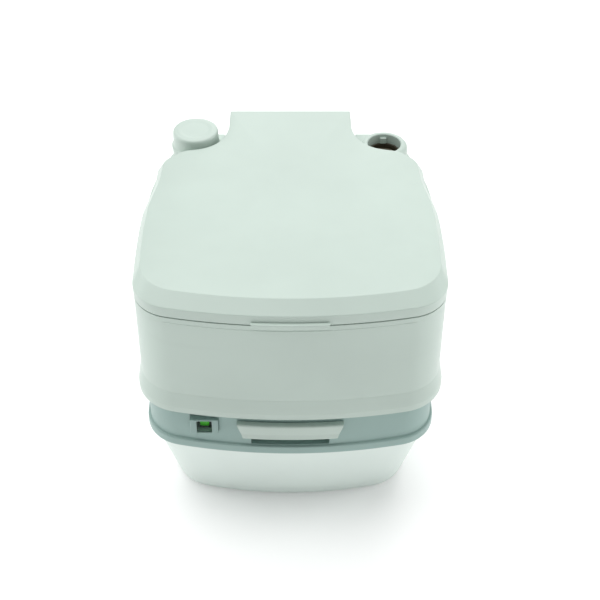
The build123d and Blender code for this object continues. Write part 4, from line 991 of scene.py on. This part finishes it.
# ---- Flush section -----------------------------------------------------------------------------------
class TOILET_OT_tank(Step):
    """Flush tank with its flared skirt, deck, turrets and hinge knuckles"""
    bl_idname = "toilet.tank"
    bl_label = "Flush tank"

    def build(self, sizes, colours):
        shapes = Shapes(sizes)
        bottom = low("flush_tank").z
        land, flare_top, deck, neck_deck = bottom + 9 * MM, bottom + sizes.skirt_height, 376 * MM, 374 * MM
        out, wall = sizes.skirt_out, sizes.wall
        outside = rounded([
            (-wall, bottom, 0), (out, bottom, 0.8 * MM), (out, land, 3 * MM), (0.3 * MM, flare_top, 5 * MM),
            (0, flare_top + 1.0 * MM, 0.2 * MM), (0, 300 * MM, 0), (0, 340 * MM, 0), (0, deck, sizes.edge_radius),
            (-12 * MM, deck, 0)])
        tank = tidy(skin(walls(shapes.body, outside), (0, 0, bottom), (0, 0, deck)))
        hollow = tidy(skin(walls(shapes.body, [(-wall, bottom - 1 * MM), (-wall, neck_deck - wall)]),
                           (0, 0, bottom - 1 * MM), (0, 0, neck_deck - wall)))
        plateau_top, plateau_rear, plateau_in = 382.5 * MM, 182 * MM, 1.5 * MM
        edge = [at(shapes.lid(0.7 * MM + inset, inset, plateau_in + inset, plateau_rear - inset), height)
                for inset, height in rounded([(0, deck - wall, 0), (0, plateau_top, 0.6 * MM),
                                              (10 * MM, plateau_top, 0)])]
        plateau = tidy(skin(edge, (0, CROWN_Y, deck - wall), (0, CROWN_Y, plateau_top)))
        inside = shapes.lid(plateau_in + wall, plateau_in + wall, plateau_in + wall, plateau_rear - wall)
        heights = (deck - wall - 3 * MM, plateau_top - wall)
        under = tidy(skin([at(inside, height) for height in heights], *((0, CROWN_Y, height) for height in heights)))
        step = block((-92 * MM, plateau_rear, neck_deck), (92 * MM, 0.25, neck_deck + 0.02))
        bowl = middle("bowl")
        tank = combine(tank, [plateau], "UNION")
        tank = combine(tank, [step, hollow, under,
                              drum((0, bowl.y, 0), 107.3 * MM, 0.36, 0.40, radius_y=135.3 * MM, steps=128)],
                       "DIFFERENCE")
        pump, fill = middle("pump_cylinder"), middle("fill_neck")
        rim = 395 * MM
        low_turret = lathe(rounded([(0, neck_deck - wall, 0), (32 * MM, neck_deck - wall, 0),
                                    (32 * MM, 384 * MM, 0.5 * MM), (0, 384 * MM, 0)]), (pump.x, pump.y, 0))
        high_turret = lathe(rounded([(0, neck_deck - wall, 0), (32 * MM, neck_deck - wall, 0),
                                     (32 * MM, rim, 8 * MM), (23.6 * MM, rim, 0.5 * MM), (22.6 * MM, rim - 1 * MM, 0),
                                     (0, rim - 1.0 * MM, 0)], 8), (fill.x, fill.y, 0))
        tank = combine(tank, [tidy(low_turret), tidy(high_turret)], "UNION")
        tank = combine(tank, [drum((pump.x, pump.y, 0), 21.05 * MM, 0.30, 0.42),
                              drum((fill.x, fill.y, 0), 22.5 * MM, 0.30, 0.42)], "DIFFERENCE")
        lug = block((-3.3 * MM, -4.5 * MM, rim - 14 * MM), (1.6 * MM, 4.5 * MM, rim - 5 * MM), 0.8 * MM)
        template = template_of(lug)
        lugs = ring_of(template, 3, 22.5 * MM, bpy.data.materials["shell"])
        bpy.data.objects.remove(template)
        lugs.transform(Matrix.Translation((fill.x, fill.y, 0)) @ Matrix.Rotation(math.pi / 2, 4, "Z"))
        hinge = middle("hinge_pins")
        extras = [lugs] + [
            eye((side * KNUCKLE_X, hinge.y, hinge.z), 10 * MM, 6 * MM, (-6 * MM, neck_deck - wall - hinge.z),
                (4 * MM, 0)) for side in (-1, 1)]
        rear = shapes.rear
        extras.append(block((-21 * MM, rear - 12 * MM, bottom + 0.2 * MM), (21 * MM, rear - 2.5 * MM,
                                                                           bottom + 23 * MM)))
        tank = combine(tank, extras, "UNION")
        tank = combine(tank, [drum((0, hinge.y, hinge.z), HINGE_BORE, -0.07, 0.07, "X", 32),
                              block((-18 * MM, rear - 9.5 * MM, bottom - 2 * MM), (18 * MM, rear + 20 * MM,
                                                                                bottom + 21 * MM), 1 * MM)],
                       "DIFFERENCE")
        tank = combine(tank, [block((-12 * MM, rear - 10.5 * MM, 240 * MM), (12 * MM, rear - 5 * MM, 243 * MM),
                                    0.4 * MM)], "UNION")
        piece("tank", flatten_normals(tidy(tank)), "shell", "flush_section",
              ("flush_tank",))


class TOILET_OT_pump(Step):
    """Knob of the flush pump"""
    bl_idname = "toilet.pump"
    bl_label = "Pump knob"

    def build(self, sizes, colours):
        spot, bottom, top = middle("pump_knob"), low("pump_knob").z, high("pump_knob").z
        rod, flange = 4 * MM, high("pump_knob").x - spot.x
        grip = flange - 2.6 * MM
        profile = rounded([
            (rod, bottom + 14 * MM, 0), (rod, bottom, 0.3 * MM), (9 * MM, bottom, 0.5 * MM),
            (9 * MM, bottom + 18 * MM, 1 * MM), (26 * MM, bottom + 18 * MM, 1 * MM), (26 * MM, bottom, 0.5 * MM),
            (flange - 0.1 * MM, bottom, 0.9 * MM), (flange - 0.2 * MM, bottom + 2.8 * MM, 1.2 * MM),
            (grip + 0.3 * MM, bottom + 5 * MM, 2.4 * MM), (grip - 0.2 * MM, top - 1 * MM, 4.2 * MM),
            (grip - 8 * MM, top - 0.05 * MM, 8 * MM), (grip - 13 * MM, top - 0.9 * MM, 6 * MM),
            (0, top - 1.2 * MM, 0)], 7)
        mesh = lathe([(0, bottom + 14 * MM)] + profile, (spot.x, spot.y, 0), steps=128)
        piece("knob", flatten_normals(tidy(mesh)), "shell", "pump", ("pump_knob",))


class TOILET_OT_filler(Step):
    """Filler neck and its cap"""
    bl_idname = "toilet.filler"
    bl_label = "Filler"

    def build(self, sizes, colours):
        spot = middle("fill_neck")
        ledge = (362 * MM, 366 * MM)
        outer = 22.48 * MM
        neck = lathe(rounded([
            (outer, 345 * MM, 0), (outer, 381 * MM, 0.4 * MM), (20 * MM, 381 * MM, 0.6 * MM),
            (20 * MM, ledge[1], 0.8 * MM), (14 * MM, ledge[1], 0.6 * MM), (14 * MM, ledge[0], 0.6 * MM),
            (20 * MM, ledge[0], 0.4 * MM), (20 * MM, 345 * MM, 0.4 * MM), (outer, 345 * MM, 0)])[:-1],
            (spot.x, spot.y, 0))
        piece("neck", flatten_normals(tidy(neck)), finish_for("fill_neck"), "flush_section",
              ("fill_neck",))
        # The cap sits low in the fill well; its dark finish is partly painted shade of the well.
        bottom, top = low("fill_cap").z, high("fill_cap").z
        cap = tidy(lathe(rounded([
            (0, bottom, 0), (18.6 * MM, bottom, 0.4 * MM), (18.6 * MM, top, 1.5 * MM), (15.5 * MM, top, 0.6 * MM),
            (15.2 * MM, bottom + 2.4 * MM, 1 * MM), (0, bottom + 2.4 * MM, 0)]), (spot.x, spot.y, 0)))
        rib = block((spot.x - 2.5 * MM, spot.y - 15.9 * MM, bottom + 1.5 * MM),
                    (spot.x + 2.5 * MM, spot.y + 15.9 * MM, top - 0.15 * MM), 0.9 * MM)
        cap = combine(cap, [rib], "UNION")
        piece("filler_cap", flatten_normals(tidy(cap)), "cap", "fill_cap", ("fill_cap",))


# ---- Seat and lid ------------------------------------------------------------------------------------
class TOILET_OT_seat(Step):
    """Seat ring with a crowned top"""
    bl_idname = "toilet.seat"
    bl_label = "Seat"

    def build(self, sizes, colours):
        shapes = Shapes(sizes)
        bottom, top = low("seat").z, high("seat").z
        middle_y = middle("bowl").y
        plan = shapes.lid(16 * MM, 26 * MM, 16 * MM, 176 * MM)
        hole = ellipse(100 * MM, 128 * MM, middle_y, plan)
        rings = []
        width = 60 * MM
        for across, height in rounded([
                (3 * MM, bottom, 0), (0, bottom, 0.8 * MM), (0, top - 3.4 * MM, 2.5 * MM),
                (4 * MM, top - 0.9 * MM, 6 * MM), (20 * MM, top, 30 * MM), (38 * MM, top - 0.6 * MM, 30 * MM),
                (54 * MM, top - 2.6 * MM, 9 * MM), (width, top - 7 * MM, 4 * MM), (width, bottom, 0.8 * MM),
                (width - 3 * MM, bottom, 0)]):
            part = across / width
            rings.append(at(plan * (1 - part) + hole * part, height))
        seat = tidy(skin(rings, wrap=True), 40)
        hinge = middle("hinge_pins")
        arm_x, arm_front, arm_rear = 66 * MM, 161 * MM, 199 * MM
        arms = [eye((side * arm_x, hinge.y, hinge.z), 7 * MM, 4 * MM, (arm_front - hinge.y, -6 * MM),
                    (arm_rear - hinge.y, 3 * MM), 0.8 * MM) for side in (-1, 1)]
        seat = combine(seat, arms, "UNION")
        seat = combine(seat, [drum((0, hinge.y, hinge.z), HINGE_BORE, -0.09, 0.09, "X", 32)], "DIFFERENCE")
        piece("seat_ring", flatten_normals(tidy(seat)), "shell", "seat", ("seat",))


class TOILET_OT_lid(Step):
    """Lid with its sloping front edge, crown, finger tab and hinge ribs"""
    bl_idname = "toilet.lid"
    bl_label = "Lid"

    def build(self, sizes, colours):
        shapes = Shapes(sizes)
        bottom, crease, shoulder, top = 384 * MM, 397 * MM, 409.5 * MM, high("lid").z
        levels = rounded([
            (3.0 * MM, 3 * MM, 2 * MM, bottom, 0), (0.5 * MM, 0, 0.2 * MM, bottom, 0.7 * MM),
            (0, 0.6 * MM, 0, crease, 2.2 * MM), (8 * MM, sizes.lid_bevel, 1.5 * MM, shoulder, 2.6 * MM),
            (18 * MM, sizes.lid_bevel + 12 * MM, 3 * MM, shoulder + 0.9 * MM, 0)], 6)
        rings = [at(shapes.lid(side, front, neck), height) for side, front, neck, height in levels]
        edge = rings[-1]
        centre = np.array((0, CROWN_Y))
        for part in (0.9, 0.78, 0.64, 0.5, 0.36, 0.22, 0.09):
            rise = shoulder + 0.9 * MM + (top - shoulder - 0.9 * MM) * (1 - part ** 2)
            rings.append(at(centre + (edge[:, :2] - centre) * part, rise))
        lid = tidy(skin(rings, (0, CROWN_Y, bottom), (0, CROWN_Y, top)), 50)
        wall = sizes.wall
        hollow = tidy(skin([at(shapes.lid(side, front, neck, shapes.neck_rear + 10 * MM), height)
                            for side, front, neck, height in (
                                (wall, wall, wall, bottom - 1 * MM), (wall, wall, wall, crease - 1.5 * MM),
                                (wall + 7 * MM, wall + 16 * MM, wall + 1 * MM, shoulder - wall))],
                           (0, CROWN_Y, bottom - 1 * MM), (0, CROWN_Y, shoulder - wall)))
        hinge, rib_x = middle("hinge_pins"), 75.5 * MM
        cutters = [hollow]
        extras = []
        for side in (-1, 1):
            x = side * KNUCKLE_X
            cutters.append(block((x - 6.8 * MM, hinge.y - 12 * MM, bottom - 1 * MM),
                                 (x + 6.8 * MM, 0.26, hinge.z + 10.5 * MM), 1 * MM))
            spot = (side * rib_x, hinge.y, hinge.z)
            rib = eye(spot, 7 * MM, 3.5 * MM, (-9 * MM, 0), (5 * MM, 9 * MM))
            extras.append(combine(rib, [drum(spot, HINGE_BORE, -THROUGH, THROUGH, "X", 32)], "DIFFERENCE"))
        tab_low = low("lid").z
        rows = []
        for out, height, half in ((0.2, 388.5, 46), (4.6, 388.0, 46), (5.0, 386.8, 45.4), (5.0, 383.2, 43),
                                  (4.3, 381.6, 41.8), (3.0, tab_low / MM, 41.3), (0.6, tab_low / MM, 41.3),
                                  (0.2, 383.0, 42.5)):
            across = np.linspace(-half, half, 41) * MM
            rows.append([(x, shapes.bowed(x, shapes.lid_front) - out * MM, height * MM) for x in across])
        extras.append(softened(tidy(bar("tab", rows)), 0.8 * MM, 3, 50))
        lid = combine(lid, cutters, "DIFFERENCE")
        lid = combine(lid, extras, "UNION")
        piece("lid_shell", flatten_normals(tidy(lid, 38)), "shell", "lid", ("lid",))


# ---- Stage -------------------------------------------------------------------------------------------
class TOILET_OT_stage(Step):
    """Pale floor, soft lights and the camera"""
    bl_idname = "toilet.stage"
    bl_label = "Stage"

    def build(self, sizes, colours):
        stage = bpy.context.scene.toilet_stage
        mesh = bpy.data.meshes.new("floor")
        mesh.from_pydata([(-12, -12, 0), (12, -12, 0), (12, 12, 0), (-12, 12, 0)], [], [(0, 1, 2, 3)])
        floor = linked("floor", mesh)
        maker = Maker("floor")
        cloud = maker.noise(1.5, 3.0)
        base = maker.blend(cloud.clamp(0.3, 0.7), shaded(stage.floor, 0.985), stage.floor)
        mesh.materials.append(maker.finish(base, 0.75 + 0.1 * cloud, Emission_Color=(1, 1, 1, 1),
                                           Emission_Strength=stage.floor_glow))
        for name, place, size, power in (
                ("left", (-2.0, 0.1, 0.9), 1.2, 10), ("right", (2.0, 0.0, 0.9), 1.2, 12),
                ("rear", (0.3, 2.2, 1.3), 1.6, 10)):
            light = bpy.data.lights.new(name, "AREA")
            light.energy, light.size = power, size
            lamp = linked(name, light)
            lamp.location = place
            lamp.rotation_euler = (Vector((0, 0, 0.2)) - Vector(place)).to_track_quat("-Z", "Y").to_euler()
        roof = bpy.data.lights.new("roof", "SUN")
        roof.energy, roof.angle = stage.roof_strength, math.radians(70)
        linked("roof", roof).rotation_euler = (math.radians(-12), math.radians(-8), 0)
        world = bpy.data.worlds.new("surround")
        world.use_nodes = True
        world.node_tree.nodes["Background"].inputs["Color"].default_value = (1, 1, 1, 1)
        world.node_tree.nodes["Background"].inputs["Strength"].default_value = stage.sky_strength
        bpy.context.scene.world = world
        bpy.context.scene.view_settings.view_transform = "Standard"
        lens = bpy.data.cameras.new("camera")
        lens.lens, lens.shift_x, lens.sensor_width = stage.lens, stage.shift, 36
        camera = linked("camera", lens)
        camera.location = (0, -stage.camera_distance, stage.camera_height)
        camera.rotation_euler = (math.pi / 2 - stage.camera_pitch, 0, 0)
        bpy.context.scene.camera = camera


STEPS = (TOILET_OT_finishes, TOILET_OT_tub, TOILET_OT_cover, TOILET_OT_handle, TOILET_OT_cap, TOILET_OT_screws,
         TOILET_OT_tank, TOILET_OT_pump, TOILET_OT_filler, TOILET_OT_seat, TOILET_OT_lid, TOILET_OT_fittings,
         TOILET_OT_stage)


class TOILET_PT_panel(bpy.types.Panel):
    """Steps that build the toilet"""
    bl_idname = "TOILET_PT_panel"
    bl_label = "Portable flush toilet"
    bl_space_type = "VIEW_3D"
    bl_region_type = "UI"
    bl_category = "Toilet"

    def draw(self, context):
        for step in STEPS:
            self.layout.operator(step.bl_idname)


GROUPS = {"toilet_sizes": ToiletSizes, "toilet_colours": ToiletColours, "toilet_stage": StageSettings}


def register():
    """Register the settings, steps and panel."""
    for made in (*GROUPS.values(), *STEPS, TOILET_PT_panel):
        bpy.utils.register_class(made)
    for name, group in GROUPS.items():
        setattr(bpy.types.Scene, name, PointerProperty(type=group))


def unregister():
    """Take the panel, steps and settings away again."""
    for name in GROUPS:
        delattr(bpy.types.Scene, name)
    for made in reversed((*GROUPS.values(), *STEPS, TOILET_PT_panel)):
        bpy.utils.unregister_class(made)


def main():
    """Build every piece."""
    register()
    for step in STEPS:
        group, name = step.bl_idname.split(".")
        getattr(getattr(bpy.ops, group), name)()


if __name__ == "__main__":
    main()
